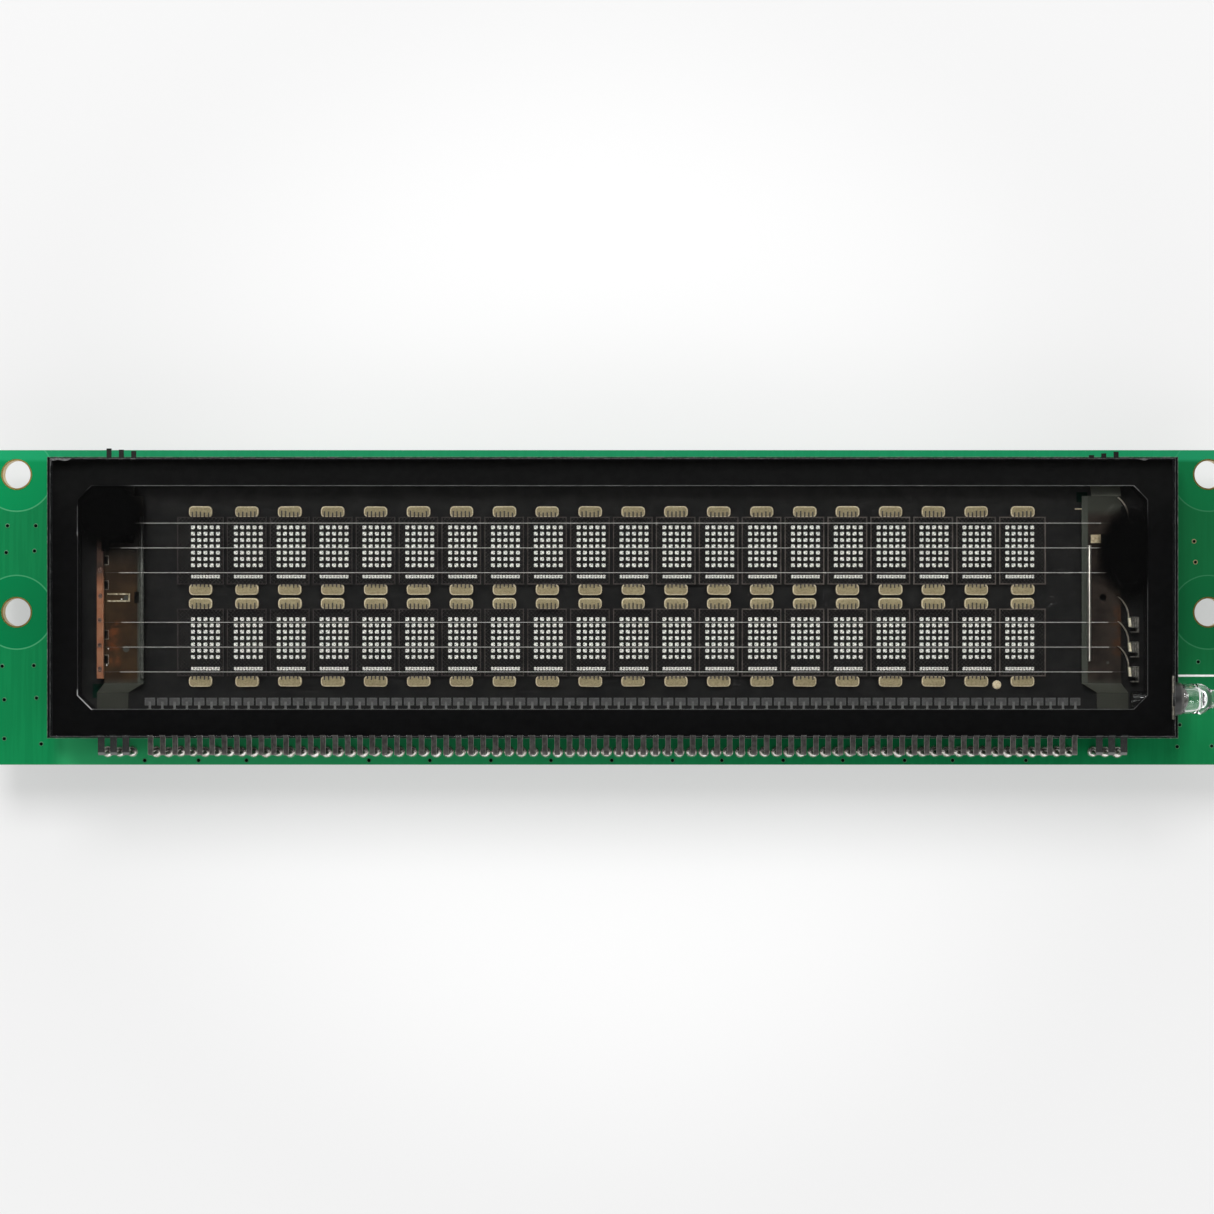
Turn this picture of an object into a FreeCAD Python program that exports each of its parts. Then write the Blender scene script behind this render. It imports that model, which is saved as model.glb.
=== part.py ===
# Vacuum fluorescent display module: a circuit board with a sealed glass display tube on its front.
# Millimetres. Origin: centre of the four mounting holes, in the board's back face. +X runs along the lines
# of characters, +Y up the display, +Z out of the display towards the reader.
import FreeCAD
import Part
import os
from math import cos, pi, sin

Vector = FreeCAD.Vector

# Circuit board
board_thickness = 1.6
mount_spacing_y = 17.0
mount_hole_dia = 3.5
mount_top_margin = 3.0          # from the board's top edge down to the upper holes' centres
mount_end_margin = 4.0          # from the board's ends in to the holes' centres
mount_tube_gap = 4.6            # from the tube's ends out to the holes' centres
tube_top_margin = 1.05          # from the board's top edge down to the tube
lead_bottom_margin = 1.5        # from the leads' legs down to the board's lower edge
lead_slot_clearance = 0.05      # all round a lead in its board slot

# Foam tape between board and tube
tape_thickness = 2.5
tape_end_margin = 16.9          # from the substrate's ends
tape_width = 7.0
tape_spacing = 17.0             # between the two strips' centre lines

# Glass envelope
substrate_ledge_x = 1.3         # substrate past the face glass at each end
substrate_ledge_y = 0.425
substrate_thickness = 2.0
face_thickness = 1.8
face_edge_chamfer = 0.15
wall_inset = 0.15               # wall's outer face inside the face glass's edge
wall_width_side = 2.9
wall_width_end = 3.05           # top and bottom runs of the wall
wall_height = 2.6
wall_corner_cut = 1.7           # cut across each inner corner
lower_seal_thickness = 0.35
upper_seal_thickness = 0.2
insulation_thickness = 0.05

# Characters, 5 by 7 dots each, with a cursor bar below
columns = 20
character_width = 3.49
character_height = 5.03
bar_gap = 0.955                 # from a character down to its cursor bar
bar_width = 3.52
bar_height = 0.46
phosphor_thickness = 0.04
column_end_space = 15.055       # from the last column's centre to the window's end
text_top_margin = 2.39          # from the uppermost bond pads to the window's edge
text_bottom_margin = 2.63

# Control grids, one fine mesh frame over each character
grid_side_margin = 0.665        # past the character on each side
grid_top_margin = 1.065
grid_bottom_margin = 0.71       # below the cursor bar
grid_spacing = 0.39             # between neighbouring grids
grid_thickness = 0.1
grid_border = 0.14
grid_gap_above_anodes = 0.5
grid_shift_x = -0.15            # grid's centre from the character's centre
grid_end_extension = 0.83       # the first and last grids are this much wider

# Bond pads that hold the grids' ends
bond_pad_width = 2.94
bond_pad_height = 1.45
bond_pad_overlap = 0.12         # reach of a pad under its grid
bond_pad_shift_x = -0.12        # pad's centre from the character's centre
pad_row_gap = 0.27              # between the pads of the two lines
test_pad_dia = 1.06
test_pad_shift_x = -0.19        # from the middle between the last two columns
test_pad_drop = 0.43            # below the middle of the lowest bond pads
test_pad_thickness = 0.2

# Leads, all on one pitch
lead_pitch = 1.5
lead_width = 0.65
lead_thickness = 0.2
lead_overhang = 1.95            # legs' centre line past the substrate's edge
lead_bend = 0.35                # cut across the outside of a lead's bend
lead_stub_below_board = 1.0
lead_end_margin = 2.3           # least distance from the window's end to the outermost lead
end_lead_count = 3              # at each end, for the filament
end_lead_skip = 2               # pitches from the last main lead to the first end lead

# Filament support plates, one folded sheet at each end with its leads
plate_height = 1.0              # underside of the raised part above the leads' underside
plate_width = 4.75
plate_lead_width = 0.82
plate_lead_step = 0.65          # outermost lead's centre past the plate's outer edge
plate_top_gap = 1.225           # from the window's upper edge to the raised part
plate_bottom_gap = 3.125
plate_fold_run = 1.15           # length of the fold down to the leads
stub_width = 0.6
stub_pitch = 1.5
stub_reach_left = (1.0, 0.85, 0.7)      # cut stubs past the substrate's top edge, outermost first
stub_reach_right = (0.6, 0.4, 0.2)
right_hole_dia = 0.86
right_hole_inset = 2.2          # from the plate's outer edge
left_notch_width = 0.55
left_notch_height = 1.4
left_notch_inset = 0.55         # from the plate's inner edge to the notch

# Weld bar at the left plate's outer edge
bar_strip_width = 0.81
bar_end_margin = 0.8            # past the outer filaments
bar_slot_width = 0.42
bar_slot_height = 1.0
bar_slots = (-3, -2, 0, 1)      # slots between bar and plate, halfway between filament places

# Filament wires
filament_pitch = 3.0
filament_slots = (3, 2, 1, -1, -2, -3)  # places in pitches from the tube's centre, the middle one empty
filament_dia = 0.12
spacer_dia = 0.5
left_spacer_inset = 0.15        # from the plate's inner edge
right_spacer_inset = 0.85
right_spacer_length = 14.0
right_spacer_drop = 0.7

# Leaf springs that hold the filaments tight, with their weld tabs and seats
spring_thickness = 0.12
spring_height = 0.44
spring_root_inset = 0.33        # from the plate's outer edge
spring_mid = (0.75, -0.81)      # from the root
spring_end = (1.24, -2.57)
tab_width = 0.38
tab_height = 1.06
tab_depth = 0.7
seat_width = 0.9
seat_height = 1.3

# Ribbon clip on the left plate
clip_length = 2.7
clip_span = 1.0
clip_ribbon = 0.16
clip_rise = 0.25
clip_slot_gap = 0.2             # from the bar slots' middle line

# Getters
getter_length = 3.0
getter_width = 0.9
getter_height = 0.4
getter_groove_width = 0.5
getter_groove_depth = 0.25
getter_inset = 0.4              # strip's centre from the plate's outer edge
getter_drop = 0.4               # below the middle between the two uppermost filaments
getter_foot_length = 1.07
getter_foot_width = 1.0
getter_foot_inset = 1.62        # foot's centre from the plate's inner edge
getter_sheet = 0.15
getter_clearance = 0.3          # under the face glass

# Exhaust tube, sealed off
exhaust_rise = 1.225            # above the window's lower edge
exhaust_dia = 3.7
exhaust_wall = 0.45
exhaust_neck_dia = 1.9
exhaust_bulb_length = 2.1
exhaust_shoulder = 1.7
exhaust_waist_dia = 2.2
exhaust_tail_length = 2.1
collar_size = 4.1               # across its flats
collar_reach = 0.15             # past the substrate's edge

# Back of the board, with places counted from the board's centre
header_rows = 5
header_columns = 2
header_pitch = 2.54
header_body_height = 2.5
header_pin = 0.64
header_pin_reach = 8.4          # below the board
header_tail = 1.3               # above the board
header_end_margin = 15.5        # from the board's left end to the header's centre
pin_clearance = 0.05

driver_size = 14.0
driver_height = 2.3
driver_places = ((-12.0, 0.9), (12.0, 0.9))
controller_size = 10.0
controller_height = 2.0
controller_place = (-36.0, 0.9)
package_bevel = 0.35

resonator_size = (7.4, 3.4, 1.8)
resonator_place = (-46.0, 11.4)

can_dia = 6.3
can_height = 7.3
can_base_size = 6.6
can_base_height = 0.9
can_corner_cut = 1.4
can_end_margin = 20.0           # from the board's right end to the cans' centres
can_rows = (9.4, -8.6)

core_length = 13.0
core_width = 12.0
core_thickness = 5.6
core_leg = 2.0                  # outer legs and yokes
core_centre_leg = 3.4
bobbin_flange = 0.7
bobbin_margin = 1.0             # base plate past the core
winding_inset = 0.25            # winding inside the core's window
winding_bulge = 0.8             # winding past the core's flat faces
transformer_place = (40.5, -2.1)

inductor_size = 7.3
inductor_height = 4.5
inductor_place = (27.5, -8.6)

transistor_size = (6.5, 6.0, 2.3)
transistor_tab = (5.2, 1.2, 0.5)
transistor_place = (28.0, 10.4)

diode_size = (4.3, 2.6, 2.2)
diode_places = ((40.5, 11.4), (47.0, 11.4))

chip_size = (2.0, 1.25)
capacitor_height = 0.9
resistor_height = 0.5
capacitor_places = ((-26.0, 8.9), (0.0, 11.4), (0.0, -9.6))
resistor_run = (-40.0, -11.1, 4.0, 3)    # first centre, step along X, count

# Pattern of characters, grids and pads
grid_width = character_width + 2 * grid_side_margin
column_pitch = grid_width + grid_spacing
bar_drop = character_height / 2 + bar_gap + bar_height / 2
below_text = bar_gap + bar_height + grid_bottom_margin
grid_height = grid_top_margin + character_height + below_text
grid_drop = (below_text - grid_top_margin) / 2
pad_reach = bond_pad_height - bond_pad_overlap
line_pitch = grid_height + 2 * pad_reach + pad_row_gap

# Envelope round the pattern
window_x = (columns - 1) / 2 * column_pitch + column_end_space
window_y = (line_pitch + grid_height + 2 * pad_reach + text_top_margin + text_bottom_margin) / 2
wall_outer_x = window_x + wall_width_side
wall_outer_y = window_y + wall_width_end
face_length = 2 * (wall_outer_x + wall_inset)
face_height = 2 * (wall_outer_y + wall_inset)
substrate_length = face_length + 2 * substrate_ledge_x
substrate_height = face_height + 2 * substrate_ledge_y

# Board round the tube
mount_spacing_x = substrate_length + 2 * mount_tube_gap
board_length = mount_spacing_x + 2 * mount_end_margin
board_top = mount_spacing_y / 2 + mount_top_margin
tube_y = board_top - tube_top_margin - substrate_height / 2
lead_row_y = tube_y - substrate_height / 2 - lead_overhang
board_bottom = lead_row_y - lead_bottom_margin
board_centre_y = (board_top + board_bottom) / 2
header_x = -board_length / 2 + header_end_margin
can_x = board_length / 2 - can_end_margin

# Levels, from the board's back face up
z_board = board_thickness
z_substrate = z_board + tape_thickness
z_glass = z_substrate + substrate_thickness
z_leads = z_glass + insulation_thickness
z_lead_top = z_leads + lead_thickness
z_wall = z_leads + lower_seal_thickness
z_wall_top = z_wall + wall_height
z_face = z_wall_top + upper_seal_thickness
z_front = z_face + face_thickness
z_grid = z_leads + grid_gap_above_anodes
z_plate = z_leads + plate_height
z_plate_top = z_plate + lead_thickness
z_filament = z_plate_top + spacer_dia + filament_dia / 2

# Leads, on half pitches from the middle, as far out as the window lets them stand
outer_lead_x = (int((window_x - lead_end_margin) / lead_pitch - 0.5 + 1e-6) + 0.5) * lead_pitch
end_lead_xs = [outer_lead_x - i * lead_pitch for i in reversed(range(end_lead_count))]
last_lead_x = end_lead_xs[0] - end_lead_skip * lead_pitch
lead_count = round(2 * last_lead_x / lead_pitch) + 1
lead_xs = [(i - (lead_count - 1) / 2) * lead_pitch for i in range(lead_count)]
all_lead_xs = [-x for x in end_lead_xs] + lead_xs + end_lead_xs

# Places inside the tube
column_xs = [(i - (columns - 1) / 2) * column_pitch for i in range(columns)]
upper_line_y = tube_y + window_y - text_top_margin - pad_reach - grid_height / 2 + grid_drop
line_ys = [upper_line_y, upper_line_y - line_pitch]
plate_outer_x = outer_lead_x - plate_lead_step
plate_inner_x = plate_outer_x - plate_width
plate_top_y = tube_y + window_y - plate_top_gap
plate_low_y = tube_y - window_y + plate_bottom_gap
stub_outer_x = plate_outer_x - stub_width / 2
filament_ys = [tube_y + n * filament_pitch for n in filament_slots]
bar_half_length = max(filament_slots) * filament_pitch + bar_end_margin
bar_outer_x = -plate_outer_x - bar_strip_width
spring_root_x = plate_outer_x - spring_root_inset
tab_x = spring_root_x + spring_end[0] - spring_thickness
getter_x = plate_outer_x - getter_inset
getter_y = (filament_ys[0] + filament_ys[1]) / 2 - getter_drop
getter_foot_x = plate_inner_x + getter_foot_inset
exhaust_y = tube_y - window_y + exhaust_rise
exhaust_z = (z_leads + z_face) / 2
collar_x = substrate_length / 2 + collar_reach


def box(x0, x1, y0, y1, z0, z1):
    return Part.makeBox(x1 - x0, y1 - y0, z1 - z0, Vector(x0, y0, z0))


def block(x, y, width, height, z0, z1):
    return box(x - width / 2, x + width / 2, y - height / 2, y + height / 2, z0, z1)


def prism(points, z0, z1):
    ring = [Vector(x, y, z0) for x, y in points]
    face = Part.Face(Part.makePolygon(ring + ring[:1]))
    return face.extrude(Vector(0, 0, z1 - z0))


def disc(x, y, dia, z0, z1):
    return Part.makeCylinder(dia / 2, z1 - z0, Vector(x, y, z0))


def rod_x(x0, x1, y, z, dia):
    return Part.makeCylinder(dia / 2, x1 - x0, Vector(x0, y, z), Vector(1, 0, 0))


def wire(start, along, dia, sides):
    """Thin wire with few flat sides, two of them level, measured across those flats."""
    radius = dia / 2 / cos(pi / sides)
    side_way = Vector(0, 0, 1).cross(along).normalize()
    ring = []
    for i in range(sides):
        angle = (i + 0.5) * 2 * pi / sides
        ring.append(start + side_way * (radius * sin(angle)) + Vector(0, 0, radius * cos(angle)))
    face = Part.Face(Part.makePolygon(ring + ring[:1]))
    return face.extrude(along)


def cut_rectangle(half_x, half_y, corner, y):
    """Outline of a rectangle with its four corners cut across, centred at x 0 and the given y."""
    near, far = half_x - corner, half_y - corner
    return [(-near, y - half_y), (near, y - half_y), (half_x, y - far), (half_x, y + far),
            (near, y + half_y), (-near, y + half_y), (-half_x, y + far), (-half_x, y - far)]


def sheet_along_x(profile, x0, x1):
    """Sheet metal folded about X: the profile is a list of (y, z) of its lower side."""
    under = [Vector(x0, y, z) for y, z in profile]
    over = [Vector(x0, y, z + lead_thickness) for y, z in reversed(profile)]
    ring = under + over
    face = Part.Face(Part.makePolygon(ring + ring[:1]))
    return face.extrude(Vector(x1 - x0, 0, 0))


def save(name, solids):
    shape = solids[0] if len(solids) == 1 else Part.makeCompound(solids)
    shape.exportStep(os.path.join("parts", name + ".step"))
    print(name, len(solids), round(sum(s.Volume for s in solids), 2))


# Circuit board and foam tape
def circuit_board():
    half = board_length / 2
    board = box(-half, half, board_bottom, board_top, 0, z_board)
    holes = [disc(sx * mount_spacing_x / 2, sy * mount_spacing_y / 2, mount_hole_dia, 0, z_board)
             for sx in (-1, 1) for sy in (-1, 1)]
    slot_y = lead_thickness + 2 * lead_slot_clearance
    for x in all_lead_xs:
        width = lead_width if x in lead_xs else plate_lead_width
        holes.append(block(x, lead_row_y, width + 2 * lead_slot_clearance, slot_y, 0, z_board))
    pin_hole = header_pin + 2 * pin_clearance
    holes += [block(x, y, pin_hole, pin_hole, 0, z_board) for x, y in header_pin_places()]
    return board.cut(holes)


def tape_strips():
    length = substrate_length - 2 * tape_end_margin
    return [block(0, tube_y + side * tape_spacing / 2, length, tape_width, z_board, z_substrate)
            for side in (1, -1)]


# Glass envelope
def wall_ring(z0, z1):
    outer = block(0, tube_y, 2 * wall_outer_x, 2 * wall_outer_y, z0, z1)
    return outer.cut(prism(cut_rectangle(window_x, window_y, wall_corner_cut, tube_y), z0, z1))


def lower_seal():
    """The frit frame, with a rebate for the comb of leads below and one for each plate's stubs above."""
    ring = wall_ring(z_leads, z_wall)
    comb_x = end_lead_xs[-1] + plate_lead_width / 2
    ring = ring.cut(box(-comb_x, comb_x, tube_y - wall_outer_y, tube_y - window_y, z_leads, z_lead_top))
    for side in (-1, 1):
        ends = sorted((side * (stub_outer_x + stub_width / 2),
                       side * (stub_outer_x - (len(stub_reach_left) - 1) * stub_pitch - stub_width / 2)))
        ring = ring.cut(box(*ends, tube_y + window_y, tube_y + wall_outer_y, z_leads, z_lead_top))
    return ring


def side_wall():
    bore = rod_x(window_x - wall_corner_cut, wall_outer_x, exhaust_y, exhaust_z, exhaust_neck_dia)
    return wall_ring(z_wall, z_wall_top).cut(bore)


def face_glass():
    glass = block(0, tube_y, face_length, face_height, z_face, z_front)
    rim = [e for e in glass.Edges if abs(e.CenterOfMass.z - z_front) < 0.001]
    return glass.makeChamfer(face_edge_chamfer, rim)


def exhaust_tube():
    """Blown tube turned about its own axis along X, with its sealed tail outwards."""
    inlet = window_x - wall_corner_cut
    bulb_end = collar_x + exhaust_bulb_length
    waist = bulb_end + exhaust_shoulder
    tip = waist + exhaust_tail_length
    neck, bulb, thin = exhaust_neck_dia / 2, exhaust_dia / 2, exhaust_waist_dia / 2
    skin = exhaust_wall
    outer = [(inlet, neck), (collar_x, neck), (collar_x, bulb), (bulb_end, bulb), (waist, thin), (tip, 0)]
    inner = [(bulb_end, 0), (bulb_end, bulb - skin), (collar_x + skin, bulb - skin),
             (collar_x + skin, neck - skin), (inlet, neck - skin)]
    ring = [Vector(x, exhaust_y + r, exhaust_z) for x, r in outer + inner]
    face = Part.Face(Part.makePolygon(ring + ring[:1]))
    return face.revolve(Vector(0, exhaust_y, exhaust_z), Vector(1, 0, 0), 360)


def exhaust_collar():
    """Frit run round the tube's neck where it leaves the envelope, on the substrate's ledge."""
    collar = wire(Vector(wall_outer_x, exhaust_y, exhaust_z), Vector(collar_x - wall_outer_x, 0, 0),
                  collar_size, 8)
    bore = rod_x(wall_outer_x, collar_x, exhaust_y, exhaust_z, exhaust_neck_dia)
    return collar.cut([bore, substrate_glass(), face_glass()])


def substrate_glass():
    return block(0, tube_y, substrate_length, substrate_height, z_substrate, z_glass)


def insulation():
    return block(0, tube_y, 2 * wall_outer_x, 2 * wall_outer_y, z_glass, z_leads)


def upper_seal():
    return wall_ring(z_wall_top, z_face)


# Anodes and grids
def phosphor_characters():
    top = z_leads + phosphor_thickness
    return [block(x, y, character_width, character_height, z_leads, top) for y in line_ys for x in column_xs]


def cursor_bars():
    top = z_leads + phosphor_thickness
    return [block(x, y - bar_drop, bar_width, bar_height, z_leads, top) for y in line_ys for x in column_xs]


def grid_ends(column):
    left = column_xs[column] + grid_shift_x - grid_width / 2
    right = left + grid_width
    if column == 0:
        left -= grid_end_extension
    if column == columns - 1:
        right += grid_end_extension
    return left, right


def control_grid(column, y):
    left, right = grid_ends(column)
    low, high = y - grid_drop - grid_height / 2, y - grid_drop + grid_height / 2
    top = z_grid + grid_thickness
    frame = box(left, right, low, high, z_grid, top)
    return frame.cut(box(left + grid_border, right - grid_border, low + grid_border, high - grid_border,
                         z_grid, top))


def bond_pads():
    reach = grid_height / 2 - bond_pad_overlap + bond_pad_height / 2
    pads = []
    for y in line_ys:
        for column, x in enumerate(column_xs):
            shift = bond_pad_shift_x
            if column == 0:
                shift -= grid_end_extension / 2
            if column == columns - 1:
                shift += grid_end_extension / 2
            for side in (1, -1):
                pads.append(block(x + shift, y - grid_drop + side * reach, bond_pad_width, bond_pad_height,
                                  z_leads, z_grid))
    return pads


def test_pad():
    cut = test_pad_dia * (1 - 1 / 2 ** 0.5)
    half = test_pad_dia / 2
    x = column_xs[-1] - column_pitch / 2 + test_pad_shift_x
    y = line_ys[1] - grid_drop - grid_height / 2 + bond_pad_overlap - bond_pad_height / 2 - test_pad_drop
    outline = [(x + px, py) for px, py in cut_rectangle(half, half, cut, y)]
    return prism(outline, z_leads, z_leads + test_pad_thickness)


# Leads
def lead(x, width=lead_width):
    """Strip from the anode wiring out through the lower seal, bent down and through the board."""
    inner, outer = lead_row_y + lead_thickness / 2, lead_row_y - lead_thickness / 2
    tip = tube_y - window_y
    side = [(tip, z_leads), (inner, z_leads), (inner, -lead_stub_below_board),
            (outer, -lead_stub_below_board), (outer, z_lead_top - lead_bend),
            (outer + lead_bend, z_lead_top), (tip, z_lead_top)]
    ring = [Vector(x - width / 2, y, z) for y, z in side]
    face = Part.Face(Part.makePolygon(ring + ring[:1]))
    return face.extrude(Vector(width, 0, 0))


# Filament supports
def plate_plan(side, stub_reach):
    """Plan of a support sheet, as solids to intersect with the folded sheet. side is -1 left, 1 right."""
    top, low = plate_top_y, plate_low_y
    neck_in = end_lead_xs[0] - plate_lead_width / 2
    neck_out = end_lead_xs[-1] + plate_lead_width / 2
    neck_y = low - plate_fold_run
    window_low = tube_y - window_y
    window_high = tube_y + window_y
    stub_in = stub_outer_x - (len(stub_reach) - 1) * stub_pitch - stub_width / 2
    stub_out = stub_outer_x + stub_width / 2
    outline = [(plate_inner_x, top), (plate_inner_x, low), (neck_in, neck_y), (neck_in, window_low),
               (neck_out, window_low), (neck_out, neck_y), (plate_outer_x, low), (plate_outer_x, top),
               (stub_out, top), (stub_out, window_high), (stub_in, window_high), (stub_in, top)]
    z_over = z_front
    pieces = [prism([(side * x, y) for x, y in outline], z_substrate, z_over)]
    for i, reach in enumerate(stub_reach):
        end = tube_y + substrate_height / 2 + reach
        pieces.append(block(side * (stub_outer_x - i * stub_pitch), (window_high + end) / 2, stub_width,
                            end - window_high, z_substrate, z_over))
    return pieces[0].fuse(pieces[1:])


def support_sheet(side, stub_reach, extra=None):
    end = tube_y + substrate_height / 2 + max(stub_reach)
    profile = [(tube_y - window_y, z_leads), (plate_low_y - plate_fold_run, z_leads), (plate_low_y, z_plate),
               (plate_top_y, z_plate), (tube_y + window_y, z_leads), (end, z_leads)]
    plan = plate_plan(side, stub_reach)
    if extra:
        plan = plan.fuse(extra)
    sheet = sheet_along_x(profile, *sorted((0, side * wall_outer_x))).common(plan)
    return sheet.fuse([lead(side * x, plate_lead_width) for x in end_lead_xs]).removeSplitter()


def left_anchor_plate():
    flange = box(bar_outer_x, -plate_outer_x, tube_y - bar_half_length, tube_y + bar_half_length,
                 z_substrate, z_front)
    plate = support_sheet(-1, stub_reach_left, flange)
    slot_x = -plate_outer_x + bar_slot_width / 2
    slots = [block(slot_x, tube_y + (n + 0.5) * filament_pitch, bar_slot_width, bar_slot_height,
                   z_plate, z_plate_top) for n in bar_slots]
    notch_x = -plate_inner_x - left_notch_inset - left_notch_width / 2
    slots.append(block(notch_x, tube_y, left_notch_width, left_notch_height, z_plate, z_plate_top))
    return plate.cut(slots)


def right_support_plate():
    hole = disc(plate_outer_x - right_hole_inset, tube_y, right_hole_dia, z_plate, z_plate_top)
    return support_sheet(1, stub_reach_right).cut(hole)


def filament_weld_bar():
    return box(bar_outer_x, -plate_outer_x, tube_y - bar_half_length, tube_y + bar_half_length,
               z_plate_top, z_plate_top + spacer_dia)


def spacer_rod(x, y, length):
    return wire(Vector(x, y - length / 2, z_plate_top + spacer_dia / 2), Vector(0, length, 0), spacer_dia, 8)


def filaments():
    return [wire(Vector(bar_outer_x, y, z_filament), Vector(tab_x - bar_outer_x, 0, 0), filament_dia, 4)
            for y in filament_ys]


def leaf_spring(y):
    """Strip on edge, curving from its root on the plate to the tab of the filament at y."""
    root = Vector(spring_root_x, y + tab_height / 2 - spring_end[1], z_plate_top)
    mid = root + Vector(spring_mid[0], spring_mid[1], 0)
    end = root + Vector(spring_end[0], spring_end[1], 0)
    offset = Vector(-spring_thickness, 0, 0)
    outer = Part.Arc(root, mid, end).toShape()
    inner = Part.Arc(root + offset, mid + offset, end + offset).toShape()
    wire = Part.Wire([outer, Part.makeLine(end, end + offset), inner, Part.makeLine(root + offset, root)])
    return Part.Face(wire).extrude(Vector(0, 0, spring_height))


def weld_tab(y):
    return box(tab_x, tab_x + tab_width, y - tab_height / 2, y + tab_height / 2,
               z_plate_top, z_plate_top + tab_depth)


def spring_seat(y):
    left = tab_x + tab_width
    return box(left, left + seat_width, y - seat_height / 2, y + seat_height / 2,
               z_leads, z_plate_top + tab_depth)


def ribbon_clip():
    """Flat ribbon bent to a U, on edge on the left plate."""
    x0 = -plate_outer_x + bar_slot_width / 2 + clip_slot_gap
    x1 = x0 + clip_length
    y0, y1 = tube_y - clip_span / 2, tube_y + clip_span / 2
    t = clip_ribbon
    return prism([(x0, y0), (x1, y0), (x1, y1), (x0, y1), (x0, y1 - t), (x1 - t, y1 - t),
                  (x1 - t, y0 + t), (x0, y0 + t)], z_plate_top, z_plate_top + clip_rise)


# Getters
def getter_strip(side):
    """Open channel that held the getter metal, its groove towards the face glass."""
    x = side * getter_x
    top = z_face - getter_clearance
    strip = block(x, getter_y, getter_width, getter_length, top - getter_height, top)
    return strip.cut(block(x, getter_y, getter_groove_width, getter_length, top - getter_groove_depth, top))


def getter_holder(side):
    """Foot welded on the plate, with an arm that rises and reaches under the strip."""
    arm_top = z_face - getter_clearance - getter_height
    foot_in = getter_foot_x - getter_foot_length / 2
    foot_out = getter_foot_x + getter_foot_length / 2
    arm_end = getter_x + getter_width / 2
    t = getter_sheet
    side_view = [(foot_in, z_plate_top), (foot_out, z_plate_top), (foot_out, arm_top - t),
                 (arm_end, arm_top - t), (arm_end, arm_top), (foot_out - t, arm_top),
                 (foot_out - t, z_plate_top + t), (foot_in, z_plate_top + t)]
    ring = [Vector(side * x, getter_y - getter_foot_width / 2, z) for x, z in side_view]
    face = Part.Face(Part.makePolygon(ring + ring[:1]))
    return face.extrude(Vector(0, getter_foot_width, 0))


# Back of the board
def on_board(place):
    return place[0], board_centre_y + place[1]


def header_pin_places():
    places = []
    for column in range(header_columns):
        for row in range(header_rows):
            places.append((header_x + (column - (header_columns - 1) / 2) * header_pitch,
                           board_centre_y + (row - (header_rows - 1) / 2) * header_pitch))
    return places


def header_housing():
    body = block(header_x, board_centre_y, header_columns * header_pitch, header_rows * header_pitch,
                 -header_body_height, 0)
    return body.cut([block(x, y, header_pin, header_pin, -header_body_height, 0)
                     for x, y in header_pin_places()])


def header_pins():
    return [block(x, y, header_pin, header_pin, -header_pin_reach, z_board + header_tail)
            for x, y in header_pin_places()]


def package(place, size, height):
    """Moulded package, with its rim bevelled on the side away from the board."""
    body = block(*on_board(place), size, size, -height, 0)
    rim = [e for e in body.Edges if abs(e.CenterOfMass.z + height) < 0.001]
    return body.makeChamfer(package_bevel, rim)


def can_base(row):
    x, y = on_board((can_x, row))
    half = can_base_size / 2
    cut = can_corner_cut
    outline = [(x - half, y - half), (x + half, y - half), (x + half, y + half - cut),
               (x + half - cut, y + half), (x - half + cut, y + half), (x - half, y + half - cut)]
    return prism(outline, -can_base_height, 0)


def can(row):
    return disc(*on_board((can_x, row)), can_dia, -can_base_height - can_height, -can_base_height)


def transformer():
    """Ferrite core with two windows, the winding round its centre leg and the bobbin's base plate."""
    x, y = on_board(transformer_place)
    z_core = -bobbin_flange - winding_bulge
    core = block(x, y, core_length, core_width, z_core - core_thickness, z_core)
    window_x_size = core_length - 2 * core_leg
    window_y_size = (core_width - 2 * core_leg - core_centre_leg) / 2
    offset = core_centre_leg / 2 + window_y_size / 2
    core = core.cut([block(x, y + s * offset, window_x_size, window_y_size, z_core - core_thickness, z_core)
                     for s in (-1, 1)])
    winding = block(x, y, window_x_size - 2 * winding_inset, core_width - 2 * core_leg - 2 * winding_inset,
                    z_core - core_thickness - winding_bulge, -bobbin_flange)
    winding = winding.cut(block(x, y, core_length, core_centre_leg, z_core - core_thickness, z_core))
    base = block(x, y, core_length + bobbin_margin, core_width, -bobbin_flange, 0)
    return core, winding, base


def transistor():
    x, y = on_board(transistor_place)
    width, height, depth = transistor_size
    body = block(x, y, width, height, -depth, 0)
    tab_across, tab_reach, tab_thick = transistor_tab
    tab = block(x, y + height / 2 + tab_reach / 2, tab_across, tab_reach, -tab_thick, 0)
    return body, tab


def small_block(place, width, depth, height):
    return block(*on_board(place), width, depth, -height, 0)


def chip_resistors():
    first, y, step, count = resistor_run
    return [small_block((first + i * step, y), *chip_size, resistor_height) for i in range(count)]


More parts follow.
